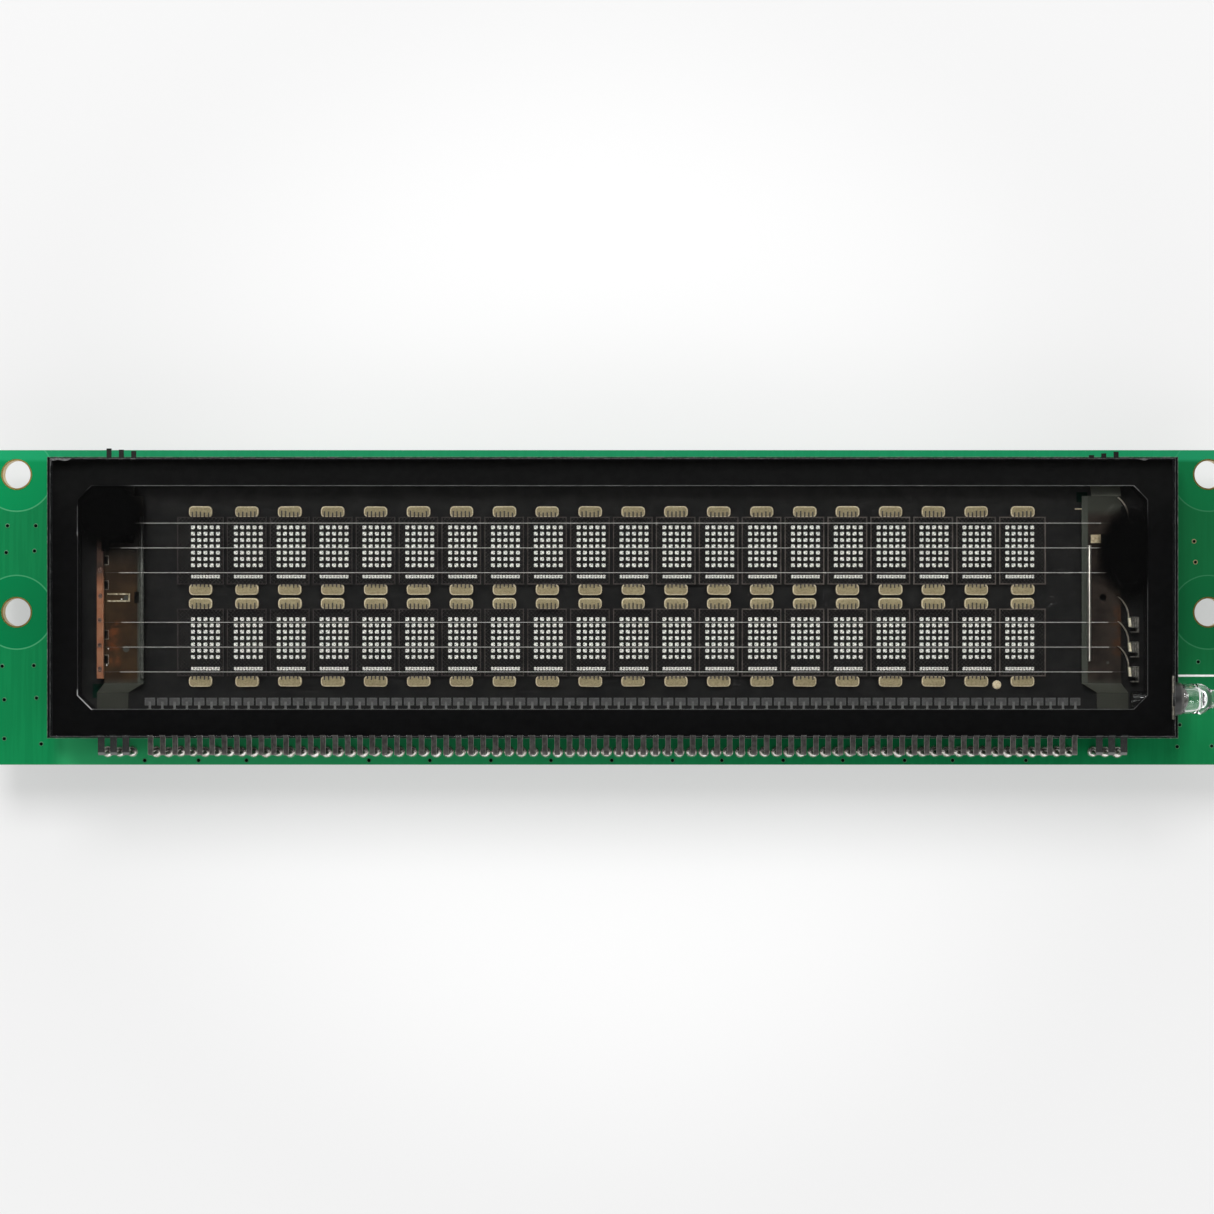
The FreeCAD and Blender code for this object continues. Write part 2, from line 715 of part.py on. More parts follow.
def main():
    os.makedirs("parts", exist_ok=True)
    save("circuit_board", [circuit_board()])
    save("foam_tape", tape_strips())
    save("substrate_glass", [substrate_glass()])
    save("insulating_layer", [insulation()])
    save("lower_frit_seal", [lower_seal()])
    save("side_wall", [side_wall()])
    save("upper_frit_seal", [upper_seal()])
    save("face_glass", [face_glass()])
    save("exhaust_tube", [exhaust_tube()])
    save("exhaust_collar", [exhaust_collar()])
    save("phosphor_characters", phosphor_characters())
    save("cursor_bars", cursor_bars())
    save("control_grids", [control_grid(c, y) for y in line_ys for c in range(columns)])
    save("bond_pads", bond_pads())
    save("test_pad", [test_pad()])
    save("main_leads", [lead(x) for x in lead_xs])
    save("left_anchor_plate", [left_anchor_plate()])
    save("right_support_plate", [right_support_plate()])
    save("filament_weld_bar", [filament_weld_bar()])
    save("left_spacer_rod", [spacer_rod(-plate_inner_x - left_spacer_inset, tube_y, 2 * bar_half_length)])
    save("right_spacer_rod", [spacer_rod(plate_inner_x + right_spacer_inset, tube_y - right_spacer_drop,
                                         right_spacer_length)])
    save("filaments", filaments())
    save("leaf_springs", [leaf_spring(y) for y in filament_ys])
    save("weld_tabs", [weld_tab(y) for y in filament_ys])
    save("spring_seats", [spring_seat(y) for y in filament_ys])
    save("ribbon_clip", [ribbon_clip()])
    save("getter_strips", [getter_strip(side) for side in (-1, 1)])
    save("getter_holders", [getter_holder(side) for side in (-1, 1)])
    save("header_housing", [header_housing()])
    save("header_pins", header_pins())
    save("driver_circuits", [package(place, driver_size, driver_height) for place in driver_places])
    save("controller_circuit", [package(controller_place, controller_size, controller_height)])
    save("resonator", [small_block(resonator_place, *resonator_size)])
    save("capacitor_bases", [can_base(row) for row in can_rows])
    save("capacitor_cans", [can(row) for row in can_rows])
    core, winding, base = transformer()
    save("transformer_core", [core])
    save("transformer_winding", [winding])
    save("transformer_base", [base])
    save("inductor", [package(inductor_place, inductor_size, inductor_height)])
    body, tab = transistor()
    save("transistor_body", [body])
    save("transistor_tab", [tab])
    save("rectifier_diodes", [small_block(place, *diode_size) for place in diode_places])
    save("chip_capacitors", [small_block(place, *chip_size, capacitor_height) for place in capacitor_places])
    save("chip_resistors", chip_resistors())


main()
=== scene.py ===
# Vacuum fluorescent display module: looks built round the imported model.
# Shapes are drawn in millimetres, in the model's own frame, and brought to metres as each piece is finished.
import bmesh
import bpy
import math
import random
from mathutils import Matrix, Vector


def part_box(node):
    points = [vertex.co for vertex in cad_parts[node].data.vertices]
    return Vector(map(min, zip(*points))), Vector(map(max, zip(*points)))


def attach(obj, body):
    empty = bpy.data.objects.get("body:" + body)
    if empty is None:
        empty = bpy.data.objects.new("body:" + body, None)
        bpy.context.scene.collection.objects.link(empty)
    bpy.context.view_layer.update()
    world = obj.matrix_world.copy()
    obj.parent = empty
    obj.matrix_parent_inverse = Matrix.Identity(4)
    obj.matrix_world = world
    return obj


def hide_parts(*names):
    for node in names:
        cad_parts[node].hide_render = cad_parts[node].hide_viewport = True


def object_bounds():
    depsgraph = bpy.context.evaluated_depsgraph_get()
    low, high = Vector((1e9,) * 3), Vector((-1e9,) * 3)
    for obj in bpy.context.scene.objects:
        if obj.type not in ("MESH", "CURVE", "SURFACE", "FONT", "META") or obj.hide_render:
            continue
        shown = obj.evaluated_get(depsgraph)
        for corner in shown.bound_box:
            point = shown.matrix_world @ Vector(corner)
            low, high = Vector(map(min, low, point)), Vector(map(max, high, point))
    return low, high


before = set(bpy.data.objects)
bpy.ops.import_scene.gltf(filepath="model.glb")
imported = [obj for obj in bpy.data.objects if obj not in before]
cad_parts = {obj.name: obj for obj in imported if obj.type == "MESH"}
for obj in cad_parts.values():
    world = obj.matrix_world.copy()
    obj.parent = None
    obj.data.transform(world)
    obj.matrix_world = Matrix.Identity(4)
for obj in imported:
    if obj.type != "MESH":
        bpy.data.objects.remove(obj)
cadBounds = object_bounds()
mm = 0.001
chance = random.Random(7)
windowY = 13.525               # half height of the window in the black frame


def boxOf(node):
    low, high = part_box(node)
    return low / mm, high / mm


boardLow, boardHigh = boxOf("circuit_board")
glassLow, glassHigh = boxOf("substrate_glass")
wallLow, wallHigh = boxOf("side_wall")
faceLow, faceHigh = boxOf("face_glass")
tubeY = (glassLow.y + glassHigh.y) / 2
zBoard = boardHigh.z
zLeads = boxOf("insulating_layer")[1].z
print("frame loaded")

# Camera straight above the display, as the photograph was taken
cameraSet = {"x": -0.68, "y": -7.85, "height": 361.6, "lens": 86.55, "sensor": 36}
cameraData = bpy.data.cameras.new("camera")
cameraData.lens = cameraSet["lens"]
cameraData.sensor_width = cameraSet["sensor"]
cameraData.clip_start = 0.01
camera = bpy.data.objects.new("camera", cameraData)
camera.location = (cameraSet["x"] * mm, cameraSet["y"] * mm, cameraSet["height"] * mm)
bpy.context.scene.collection.objects.link(camera)
bpy.context.scene.camera = camera
bpy.context.scene.view_settings.view_transform = "Standard"


# Node helpers for the finishes
def calc(tree, operation, *values):
    node = tree.nodes.new("ShaderNodeMath")
    node.operation = operation
    for socket, value in zip(node.inputs, values):
        if isinstance(value, (int, float)):
            socket.default_value = value
        else:
            tree.links.new(value, socket)
    return node.outputs[0]


def ramp(tree, value, start, end, low=0.0, high=1.0):  # low before start, high after end, smooth between
    node = tree.nodes.new("ShaderNodeMapRange")
    node.interpolation_type = "SMOOTHSTEP"
    for key, number in (("From Min", start), ("From Max", end), ("To Min", low), ("To Max", high)):
        node.inputs[key].default_value = number
    tree.links.new(value, node.inputs["Value"])
    return node.outputs["Result"]


def blend(tree, factor, first, second):
    node = tree.nodes.new("ShaderNodeMix")
    node.data_type = "RGBA"
    tree.links.new(factor, node.inputs[0])
    for socket, value in zip([s for s in node.inputs if s.type == "RGBA"], (first, second)):
        if isinstance(value, tuple):
            socket.default_value = (*value, 1)
        else:
            tree.links.new(value, socket)
    return [s for s in node.outputs if s.type == "RGBA"][0]


def objectPlace(tree, stretch=(1, 1, 1)):
    place = tree.nodes.new("ShaderNodeTexCoord").outputs["Object"]
    if stretch == (1, 1, 1):
        return place
    mapping = tree.nodes.new("ShaderNodeMapping")
    mapping.inputs["Scale"].default_value = stretch
    tree.links.new(place, mapping.inputs["Vector"])
    return mapping.outputs["Vector"]


def noise(tree, grain, detail=3, stretch=(1, 1, 1)):  # grain is the size of one blotch in mm
    node = tree.nodes.new("ShaderNodeTexNoise")
    node.inputs["Scale"].default_value = 1 / (grain * mm)
    node.inputs["Detail"].default_value = detail
    tree.links.new(objectPlace(tree, stretch), node.inputs["Vector"])
    return node.outputs["Fac"]


def axes(tree):  # object coordinates in mm
    split = tree.nodes.new("ShaderNodeSeparateXYZ")
    tree.links.new(objectPlace(tree, (1 / mm, 1 / mm, 1 / mm)), split.inputs[0])
    return split.outputs


def product(tree, first, *others):
    for value in others:
        first = calc(tree, "MULTIPLY", first, value)
    return first


def distance(tree, dx, dy):
    return calc(tree, "SQRT", calc(tree, "ADD", product(tree, dx, dx), product(tree, dy, dy)))


def awayFrom(tree, value, middle):  # how far a value is from the middle, on either side
    return calc(tree, "ABSOLUTE", calc(tree, "SUBTRACT", value, middle))


def slopes(tree, kind):  # the surface's normal, axis by axis
    split = tree.nodes.new("ShaderNodeSeparateXYZ")
    tree.links.new(tree.nodes.new("ShaderNodeNewGeometry").outputs[kind], split.inputs[0])
    return split.outputs


def flecks(tree, grain, first, second, detail=3, stretch=(1, 1, 1)):  # two colours in soft blotches
    return blend(tree, ramp(tree, noise(tree, grain, detail, stretch), 0.35, 0.65), first, second)


def newFinish(name, color, roughness=0.5, metallic=0.0, sockets=None):
    finish = bpy.data.materials.new(name)
    finish.use_nodes = True
    shader = shaderOf(finish)
    shader.inputs["Base Color"].default_value = (*color, 1)
    shader.inputs["Roughness"].default_value = roughness
    shader.inputs["Metallic"].default_value = metallic
    for key, value in (sockets or {}).items():
        shader.inputs[key].default_value = value
    return finish


def shaderOf(finish):
    return finish.node_tree.nodes["Principled BSDF"]


def feed(finish, socket, value):
    finish.node_tree.links.new(value, shaderOf(finish).inputs[socket])


def flecked(name, color, roughness, metallic, first, second, grain, sockets=None, **spread):
    finish = newFinish(name, color, roughness, metallic, sockets)
    feed(finish, "Base Color", flecks(finish.node_tree, grain, first, second, **spread))
    return finish


def fading(name, color, shine, axis, limits, first, second, grain):  # from one look to another
    roughness, metallic, specular = shine
    finish = newFinish(name, color, roughness, metallic, {"Specular IOR Level": specular})
    tree = finish.node_tree
    place = ramp(tree, axes(tree)[axis], *limits)
    looks = [flecks(tree, grain, *look) if len(look) == 2 else look for look in (first, second)]
    feed(finish, "Base Color", blend(tree, place, *looks))
    return finish


def roughen(finish, low, high, grain):
    tree = finish.node_tree
    feed(finish, "Roughness", ramp(tree, noise(tree, grain), 0.3, 0.7, low, high))
    return finish


def bumpUp(finish, height, depth):  # depth in mm
    bump = finish.node_tree.nodes.new("ShaderNodeBump")
    bump.inputs["Distance"].default_value = depth * mm
    finish.node_tree.links.new(height, bump.inputs["Height"])
    feed(finish, "Normal", bump.outputs["Normal"])


def emboss(finish, grain, depth):
    bumpUp(finish, noise(finish.node_tree, grain), depth)
    return finish


def clearWhere(finish, factor):  # see-through where the factor is 1
    tree = finish.node_tree
    mix = tree.nodes.new("ShaderNodeMixShader")
    clear = tree.nodes.new("ShaderNodeBsdfTransparent")
    tree.links.new(factor, mix.inputs[0])
    tree.links.new(shaderOf(finish).outputs[0], mix.inputs[1])
    tree.links.new(clear.outputs[0], mix.inputs[2])
    tree.links.new(mix.outputs[0], tree.nodes["Material Output"].inputs["Surface"])


def letLampsThrough(finish):  # clear glass casts no dark shadow on what it covers
    clearWhere(finish, finish.node_tree.nodes.new("ShaderNodeLightPath").outputs["Is Shadow Ray"])
    return finish


# Mesh helpers
def addBlock(bm, x0, x1, y0, y1, z0, z1):
    place = Matrix.LocRotScale(Vector((x0 + x1, y0 + y1, z0 + z1)) / 2, None,
                               Vector((x1 - x0, y1 - y0, z1 - z0)))
    return bmesh.ops.create_cube(bm, size=1, matrix=place)["verts"]


def bevelEdges(bm, edges, width, segments=2, material=-1):
    bmesh.ops.bevel(bm, geom=edges, offset=width, offset_type="OFFSET", affect="EDGES", segments=segments,
                    profile=0.5, material=material, clamp_overlap=True)


def uprightEdges(bm):
    return [e for e in bm.edges if abs(e.verts[0].co.z - e.verts[1].co.z) > 0.9 * e.calc_length()]


def levelEdges(bm, z):
    return [e for e in bm.edges if all(abs(v.co.z - z) < 1e-4 for v in e.verts)]


def softBlock(x0, x1, y0, y1, z0, z1, corner=0.0, rim=0.0, steps=3, rimSteps=2, down=False, rimFinish=-1):
    bm = bmesh.new()  # a block with rounded corners, and a rounded rim at its top or, with down, its bottom
    addBlock(bm, x0, x1, y0, y1, z0, z1)
    if corner:
        bevelEdges(bm, uprightEdges(bm), corner, steps)
    if rim:
        bevelEdges(bm, levelEdges(bm, z0 if down else z1), rim, rimSteps, rimFinish)
    return bm


def lathe(points, centre, axis, steps):  # the profile's points are turned once about the axis
    bm = bmesh.new()
    verts = [bm.verts.new(p) for p in points]
    edges = [bm.edges.new(pair) for pair in zip(verts, verts[1:])]
    bmesh.ops.spin(bm, geom=verts + edges, cent=centre, axis=axis, angle=2 * math.pi, steps=steps,
                   use_merge=True)
    bmesh.ops.remove_doubles(bm, verts=bm.verts, dist=1e-4)
    bmesh.ops.recalc_face_normals(bm, faces=bm.faces)
    return bm


def turned(points, steps):  # about the Z axis
    return lathe(points, (0, 0, 0), (0, 0, 1), steps)


def slab(points, way):  # a flat outline of points, given a thickness along one way
    bm = bmesh.new()
    face = bm.faces.new([bm.verts.new(p) for p in points])
    grown = bmesh.ops.extrude_face_region(bm, geom=[face])["geom"]
    bmesh.ops.translate(bm, vec=way, verts=[g for g in grown if isinstance(g, bmesh.types.BMVert)])
    bmesh.ops.recalc_face_normals(bm, faces=bm.faces)
    return bm


def plate(points, z0, z1):  # flat outline of (x, y) points
    return slab([(x, y, z0) for x, y in points], (0, 0, z1 - z0))


def prism(points, half):  # an outline of (x, z) points, given a width along Y
    return slab([(x, -half, z) for x, z in points], (0, 2 * half, 0))


def asTile(bm):  # a small mesh to be stamped many times
    tile = bpy.data.meshes.new("tile")
    bm.to_mesh(tile)
    bm.free()
    return tile


def stamp(bm, tile, x=0.0, y=0.0, z=0.0, turn=0.0, axis="Z", size=(1, 1, 1)):
    copy = tile.copy()
    place = Matrix.Translation((x, y, z)) @ Matrix.Rotation(turn, 4, axis)
    copy.transform(place @ Matrix.Diagonal((*size, 1)))
    bm.from_mesh(copy)
    bpy.data.meshes.remove(copy)


def strew(tile, places):  # one copy at each place
    bm = bmesh.new()
    for x, y in places:
        stamp(bm, tile, x, y)
    return bm


def addPiece(name, bm, finishes, replaced=(), smooth=30):
    bmesh.ops.scale(bm, vec=(mm, mm, mm), verts=bm.verts)
    mesh = bpy.data.meshes.new(name)
    bm.to_mesh(mesh)
    bm.free()
    for finish in finishes:
        mesh.materials.append(finish)
    if smooth:
        mesh.shade_smooth()
        mesh.set_sharp_from_angle(angle=math.radians(smooth))
    piece = bpy.data.objects.new(name, mesh)
    bpy.context.scene.collection.objects.link(piece)
    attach(piece, "root")
    if replaced:
        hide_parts(*replaced)
    return piece


def dress(node, finish):
    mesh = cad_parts[node].data
    mesh.materials.clear()
    mesh.materials.append(finish)


# Floor, sky and lamps
stageSet = {"floorSize": 4.0, "floorTone": 0.55, "farTone": 0.445, "farFrom": 35, "farTo": 85, "glow": 0.37,
            "skyLow": 0.9, "skyHigh": 0.02, "darkFrom": 0.78, "darkTo": 0.94}
lampSet = {
    "key": {"place": (-0.10, 0.42, 0.74), "size": 0.36, "power": 4.6},
    "fill": {"place": (0.35, -0.70, 0.55), "size": 0.9, "power": 1.2},
}


def makeStage():
    bm = bmesh.new()
    bmesh.ops.create_grid(bm, x_segments=1, y_segments=1, size=stageSet["floorSize"] / 2)
    bmesh.ops.translate(bm, vec=(0, 0, cadBounds[0].z), verts=bm.verts)
    mesh = bpy.data.meshes.new("floor")
    bm.to_mesh(mesh)
    bm.free()
    tone = stageSet["floorTone"]
    finish = newFinish("floorPaper", (tone, tone, tone), 0.9, sockets={
        "Specular IOR Level": 0.1, "Emission Color": (1, 1, 1, 1)})
    tree = finish.node_tree
    x, y = axes(tree)[:2]
    # painted shade: the floor's colour darker further from the display
    away = distance(tree, x, calc(tree, "SUBTRACT", y, tubeY))
    feed(finish, "Base Color", ramp(tree, away, stageSet["farFrom"], stageSet["farTo"], tone,
                                    stageSet["farTone"]))
    path = tree.nodes.new("ShaderNodeLightPath").outputs  # the glow is seen, and lights nothing
    seen = calc(tree, "MAXIMUM", path["Is Camera Ray"],
                calc(tree, "MAXIMUM", path["Is Glossy Ray"], path["Is Transmission Ray"]))
    feed(finish, "Emission Strength", product(tree, seen, stageSet["glow"]))
    clearWhere(finish, tree.nodes.new("ShaderNodeNewGeometry").outputs["Backfacing"])
    mesh.materials.append(finish)
    floor = bpy.data.objects.new("floor", mesh)
    bpy.context.scene.collection.objects.link(floor)


def makeSky():  # pale all round, dark straight overhead where the camera stands
    world = bpy.data.worlds.new("studio")
    world.use_nodes = True
    bpy.context.scene.world = world
    tree = world.node_tree
    split = tree.nodes.new("ShaderNodeSeparateXYZ")
    tree.links.new(tree.nodes.new("ShaderNodeTexCoord").outputs["Generated"], split.inputs[0])
    strength = ramp(tree, split.outputs["Z"], stageSet["darkFrom"], stageSet["darkTo"], stageSet["skyLow"],
                    stageSet["skyHigh"])
    seen = tree.nodes.new("ShaderNodeLightPath").outputs["Is Camera Ray"]
    tree.links.new(calc(tree, "MAXIMUM", strength, seen), tree.nodes["Background"].inputs["Strength"])
    tree.nodes["Background"].inputs["Color"].default_value = (1, 1, 1, 1)


def makeLamps():
    for name, values in lampSet.items():
        data = bpy.data.lights.new(name, "AREA")
        data.size = values["size"]
        data.energy = values["power"]
        lamp = bpy.data.objects.new(name, data)
        lamp.location = values["place"]
        lamp.rotation_euler = (-Vector(values["place"])).to_track_quat("-Z", "Y").to_euler()
        bpy.context.scene.collection.objects.link(lamp)


makeStage()
makeSky()
makeLamps()
print("stage made")

# Circuit board: green mask, brighter where no copper lies under it, laminate at its edges
boardSet = {
    "mask": (0.0045, 0.205, 0.064), "maskDeep": (0.0035, 0.187, 0.058), "bare": (0.0004, 0.25, 0.078),
    "bareDeep": (0.0004, 0.175, 0.054), "step": (0.1, 0.45, 0.22), "shade": (0.006, 0.055, 0.017),
    "paintedLightStrip": (0.03, 0.37, 0.135), "highStrip": (0.03, 0.5, 0.24), "laminate": (0.22, 0.24, 0.09),
    "laminateDeep": (0.1, 0.16, 0.05), "holeX": 73.5, "holeY": 8.5, "circle": 4.5, "streak": (1, 0.05, 1),
    "shadeFrom": 66, "shadeTo": 70, "frontFrom": 0.7, "frontTo": 0.9, "bump": 0.01,
}


def boardFinish():
    finish = newFinish("solderMask", boardSet["mask"], 0.22, sockets={"Specular IOR Level": 0.35})
    tree = finish.node_tree
    x, y, z = axes(tree)
    circle, streak = boardSet["circle"], boardSet["streak"]
    away = distance(tree, calc(tree, "SUBTRACT", calc(tree, "ABSOLUTE", x), boardSet["holeX"]),
                    calc(tree, "SUBTRACT", calc(tree, "ABSOLUTE", y), boardSet["holeY"]))
    streaks = ramp(tree, noise(tree, 0.5, 2, streak), 0.4, 0.6)
    mask = blend(tree, streaks, boardSet["mask"], boardSet["maskDeep"])
    bare = blend(tree, ramp(tree, y, -9, 9), boardSet["bareDeep"], boardSet["bare"])
    face = blend(tree, ramp(tree, away, circle - 0.05, circle + 0.05), bare, mask)
    step = ramp(tree, awayFrom(tree, away, circle + 0.05), 0.03, 0.12, 0.5, 0.0)
    face = blend(tree, step, face, boardSet["step"])
    front = ramp(tree, z, boardSet["frontFrom"], boardSet["frontTo"])
    # painted shade: the face darker towards the right end from x = 66 mm, less so towards the bottom
    shade = ramp(tree, x, boardSet["shadeFrom"], boardSet["shadeTo"], 0.0, 0.6)
    shade = product(tree, shade, front, ramp(tree, y, -24, -12, 0.5, 1.0))
    face = blend(tree, shade, face, boardSet["shade"])
    ends = ramp(tree, calc(tree, "ABSOLUTE", x), 67, 69.5, 1.0, 0.0)
    # painted light: the strip below the tube made paler against the tube's shadow, fading towards the right
    low = product(tree, ramp(tree, y, -23.4, -23.9), ends, ramp(tree, x, -80, 56, 1.0, 0.05), front)
    face = blend(tree, low, face, boardSet["paintedLightStrip"])
    face = blend(tree, product(tree, ramp(tree, y, 9.9, 10.5, 0.0, 0.3), front), face, boardSet["highStrip"])
    side = calc(tree, "LESS_THAN", calc(tree, "ABSOLUTE", slopes(tree, "True Normal")["Z"]), 0.5)
    layers = ramp(tree, noise(tree, 0.12, 2, (0.1, 0.1, 1)), 0.4, 0.6)
    edge = blend(tree, layers, boardSet["laminate"], boardSet["laminateDeep"])
    feed(finish, "Base Color", blend(tree, side, face, edge))
    feed(finish, "Roughness", calc(tree, "ADD", product(tree, side, 0.4), 0.22))
    rise = calc(tree, "ADD", ramp(tree, away, circle - 0.1, circle + 0.1), noise(tree, 0.4, 2, streak))
    bumpUp(finish, rise, boardSet["bump"])
    return finish


# Finishes that are the same all over a piece
gold = flecked("goldPlate", (0.6, 0.42, 0.13), 0.28, 1.0, (0.62, 0.43, 0.13), (0.5, 0.33, 0.09), 0.6)
foam = emboss(flecked("foam", (0.6, 0.6, 0.58), 0.9, 0.0, (0.62, 0.61, 0.58), (0.5, 0.49, 0.46),
                      0.35), 0.25, 0.1)
blackGlass = roughen(newFinish("blackGlass", (0.006, 0.006, 0.0065), 0.08, sockets={"IOR": 1.5}),
                     0.05, 0.12, 3)
substrateGlass = letLampsThrough(newFinish("substrateGlass", (0.88, 0.95, 0.92), 0.02,
                                           sockets={"Transmission Weight": 1.0, "IOR": 1.51}))
clearGlass = letLampsThrough(newFinish("clearGlass", (0.985, 0.99, 0.985), 0.0,
                                       sockets={"Transmission Weight": 1.0, "IOR": 1.51}))
groundGlass = flecked("groundGlass", (0.04, 0.042, 0.042), 0.45, 0.0, (0.008, 0.0085, 0.0085),
                      (0.07, 0.075, 0.072), 0.3, detail=4)
cutGlass = flecked("cutGlass", (0.12, 0.125, 0.12), 0.4, 0.0, (0.012, 0.013, 0.013), (0.12, 0.126, 0.123),
                   0.3, detail=4)
marginGlaze = flecked("marginGlaze", (0.006, 0.006, 0.007), 0.5, 0.0, (0.0025, 0.0025, 0.003),
                      (0.007, 0.0065, 0.008), 0.9, {"Specular IOR Level": 0.05})
edgeGlass = flecked("edgeGlass", (0.012, 0.016, 0.015), 0.25, 0.0, (0.006, 0.008, 0.0078),
                    (0.018, 0.023, 0.021), 0.6)
meshWire = flecked("meshWire", (0.02, 0.017, 0.015), 0.5, 0.3, (0.024, 0.02, 0.018), (0.014, 0.012, 0.011),
                   0.8, {"Specular IOR Level": 0.2})
tineMetal = flecked("tineMetal", (0.03, 0.026, 0.02), 0.5, 0.3, (0.02, 0.017, 0.013),
                    (0.009, 0.0075, 0.006), 0.2)
leadMetal = roughen(flecked("leadMetal", (0.14, 0.135, 0.125), 0.42, 0.8, (0.16, 0.155, 0.145),
                            (0.10, 0.095, 0.088), 0.5), 0.35, 0.5, 0.4)
# painted highlight: a paler copy of the lead metal, put on the leads' bevelled edges
leadEdgeHighlight = flecked("leadEdgeHighlight", (0.4, 0.38, 0.35), 0.35, 0.7, (0.45, 0.43, 0.4), (0.28, 0.27, 0.25), 0.3)
solder = emboss(roughen(flecked("solder", (0.75, 0.73, 0.68), 0.15, 0.75, (0.8, 0.78, 0.74),
                                (0.55, 0.52, 0.46), 0.4), 0.08, 0.2, 0.6), 0.4, 0.07)
brightWire = flecked("brightWire", (0.85, 0.84, 0.8), 0.25, 0.6, (0.88, 0.87, 0.83), (0.7, 0.69, 0.65), 0.6)
springMetal = flecked("springMetal", (0.42, 0.39, 0.33), 0.3, 0.9, (0.45, 0.41, 0.34), (0.3, 0.26, 0.2), 0.3)
tabMetal = flecked("tabMetal", (0.62, 0.58, 0.45), 0.35, 0.3, (0.68, 0.65, 0.52), (0.5, 0.44, 0.3), 0.25)
clipMetal = flecked("clipMetal", (0.3, 0.26, 0.17), 0.35, 0.4, (0.42, 0.37, 0.26), (0.14, 0.11, 0.06), 0.3)
seatMetal = flecked("seatMetal", (0.05, 0.048, 0.042), 0.4, 0.6, (0.07, 0.066, 0.055),
                    (0.03, 0.03, 0.027), 0.3)
blackPlastic = emboss(flecked("blackPlastic", (0.018, 0.018, 0.019), 0.5, 0.0, (0.022, 0.022, 0.023),
                              (0.014, 0.014, 0.015), 0.6), 0.15, 0.01)
housingPlastic = emboss(flecked("housingPlastic", (0.02, 0.02, 0.021), 0.55, 0.0, (0.026, 0.026, 0.027),
                                (0.016, 0.016, 0.017), 1.0), 0.3, 0.01)
tinned = roughen(flecked("tinned", (0.62, 0.61, 0.58), 0.35, 1.0, (0.68, 0.67, 0.64), (0.56, 0.55, 0.52), 2),
                 0.33, 0.4, 3)
canMetal = roughen(flecked("canMetal", (0.72, 0.72, 0.73), 0.3, 1.0, (0.74, 0.74, 0.75), (0.69, 0.69, 0.7),
                           1.5, detail=2, stretch=(1, 1, 0.1)), 0.28, 0.33, 4)
ferrite = emboss(flecked("ferrite", (0.03, 0.029, 0.028), 0.6, 0.0, (0.036, 0.034, 0.033), (0.02, 0.02, 0.02),
                         0.4), 0.2, 0.03)
windingTape = flecked("windingTape", (0.6, 0.4, 0.06), 0.25, 0.0, (0.62, 0.42, 0.06), (0.5, 0.31, 0.04), 1.2,
                      {"Coat Weight": 0.5})
resonatorCase = flecked("resonatorCase", (0.5, 0.24, 0.04), 0.35, 0.0, (0.5, 0.24, 0.04),
                        (0.42, 0.18, 0.03), 0.8)
chipCeramic = flecked("chipCeramic", (0.4, 0.28, 0.16), 0.5, 0.0, (0.42, 0.3, 0.17), (0.33, 0.22, 0.12), 0.2)
resistorTop = flecked("resistorTop", (0.02, 0.02, 0.021), 0.3, 0.0, (0.025, 0.025, 0.026),
                      (0.015, 0.015, 0.015), 0.2)
phosphor = flecked("phosphor", (0.8, 0.8, 0.74), 0.9, 0.0, (0.86, 0.86, 0.80), (0.66, 0.66, 0.60), 0.12)
padPaste = emboss(flecked("padPaste", (0.18, 0.145, 0.075), 0.7, 0.0, (0.2, 0.165, 0.085), (0.14, 0.11, 0.05),
                          0.16, detail=4),
                  0.1, 0.02)
padRim = flecked("padRim", (0.38, 0.32, 0.2), 0.6, 0.0, (0.5, 0.43, 0.29), (0.34, 0.28, 0.17), 0.2)


def getterFinish():  # tan where it shows, dark under the getter mirrors
    finish = newFinish("getterFoot", (0.22, 0.18, 0.11), 0.35, 0.4, {"Specular IOR Level": 0.0})
    tree = finish.node_tree
    x = axes(tree)["X"]
    tan = flecks(tree, 0.3, (0.42, 0.36, 0.24), (0.26, 0.21, 0.13))
    shown = product(tree, ramp(tree, x, 57.75, 57.8), ramp(tree, x, 58.85, 59.0, 1.0, 0.0))
    feed(finish, "Base Color", blend(tree, shown, (0.0016, 0.0015, 0.0014), tan))
    feed(finish, "Metallic", product(tree, shown, 0.4))
    return finish


def rodFinish():  # dark wire, with a painted highlight along its top
    finish = newFinish("rodMetal", (0.3, 0.29, 0.26), 0.35, 0.3)
    tree = finish.node_tree
    normal = slopes(tree, "Normal")
    away = calc(tree, "ABSOLUTE", normal["X"])
    # painted highlight: pale where the surface faces up, dark on the wire's sides
    upper = product(tree, ramp(tree, away, 0.08, 0.3, 1.0, 0.0), ramp(tree, normal["Z"], 0.0, 0.3))
    paintedHighlight = flecks(tree, 0.5, (0.75, 0.72, 0.62), (0.55, 0.52, 0.44))
    feed(finish, "Base Color", blend(tree, upper, (0.05, 0.047, 0.04), paintedHighlight))
    return finish


rodMetal = rodFinish()
getterFoot = getterFinish()
# Darker over the first columns than over the last ones
gridMetal = fading("gridMetal", (0.05, 0.042, 0.037), (0.5, 0.4, 0.2), "X", (-45, 50),
                   ((0.021, 0.0165, 0.0155), (0.011, 0.0085, 0.008)),
                   ((0.068, 0.056, 0.049), (0.04, 0.033, 0.029)), 0.8)
# Dull wire, dark where the getter's film covers it
shadedRod = fading("shadedRod", (0.05, 0.05, 0.045), (0.4, 0.4, 0.2), "Y", (-4.5, 0.5),
                   ((0.065, 0.068, 0.06), (0.04, 0.042, 0.037)), (0.006, 0.006, 0.0055), 0.4)
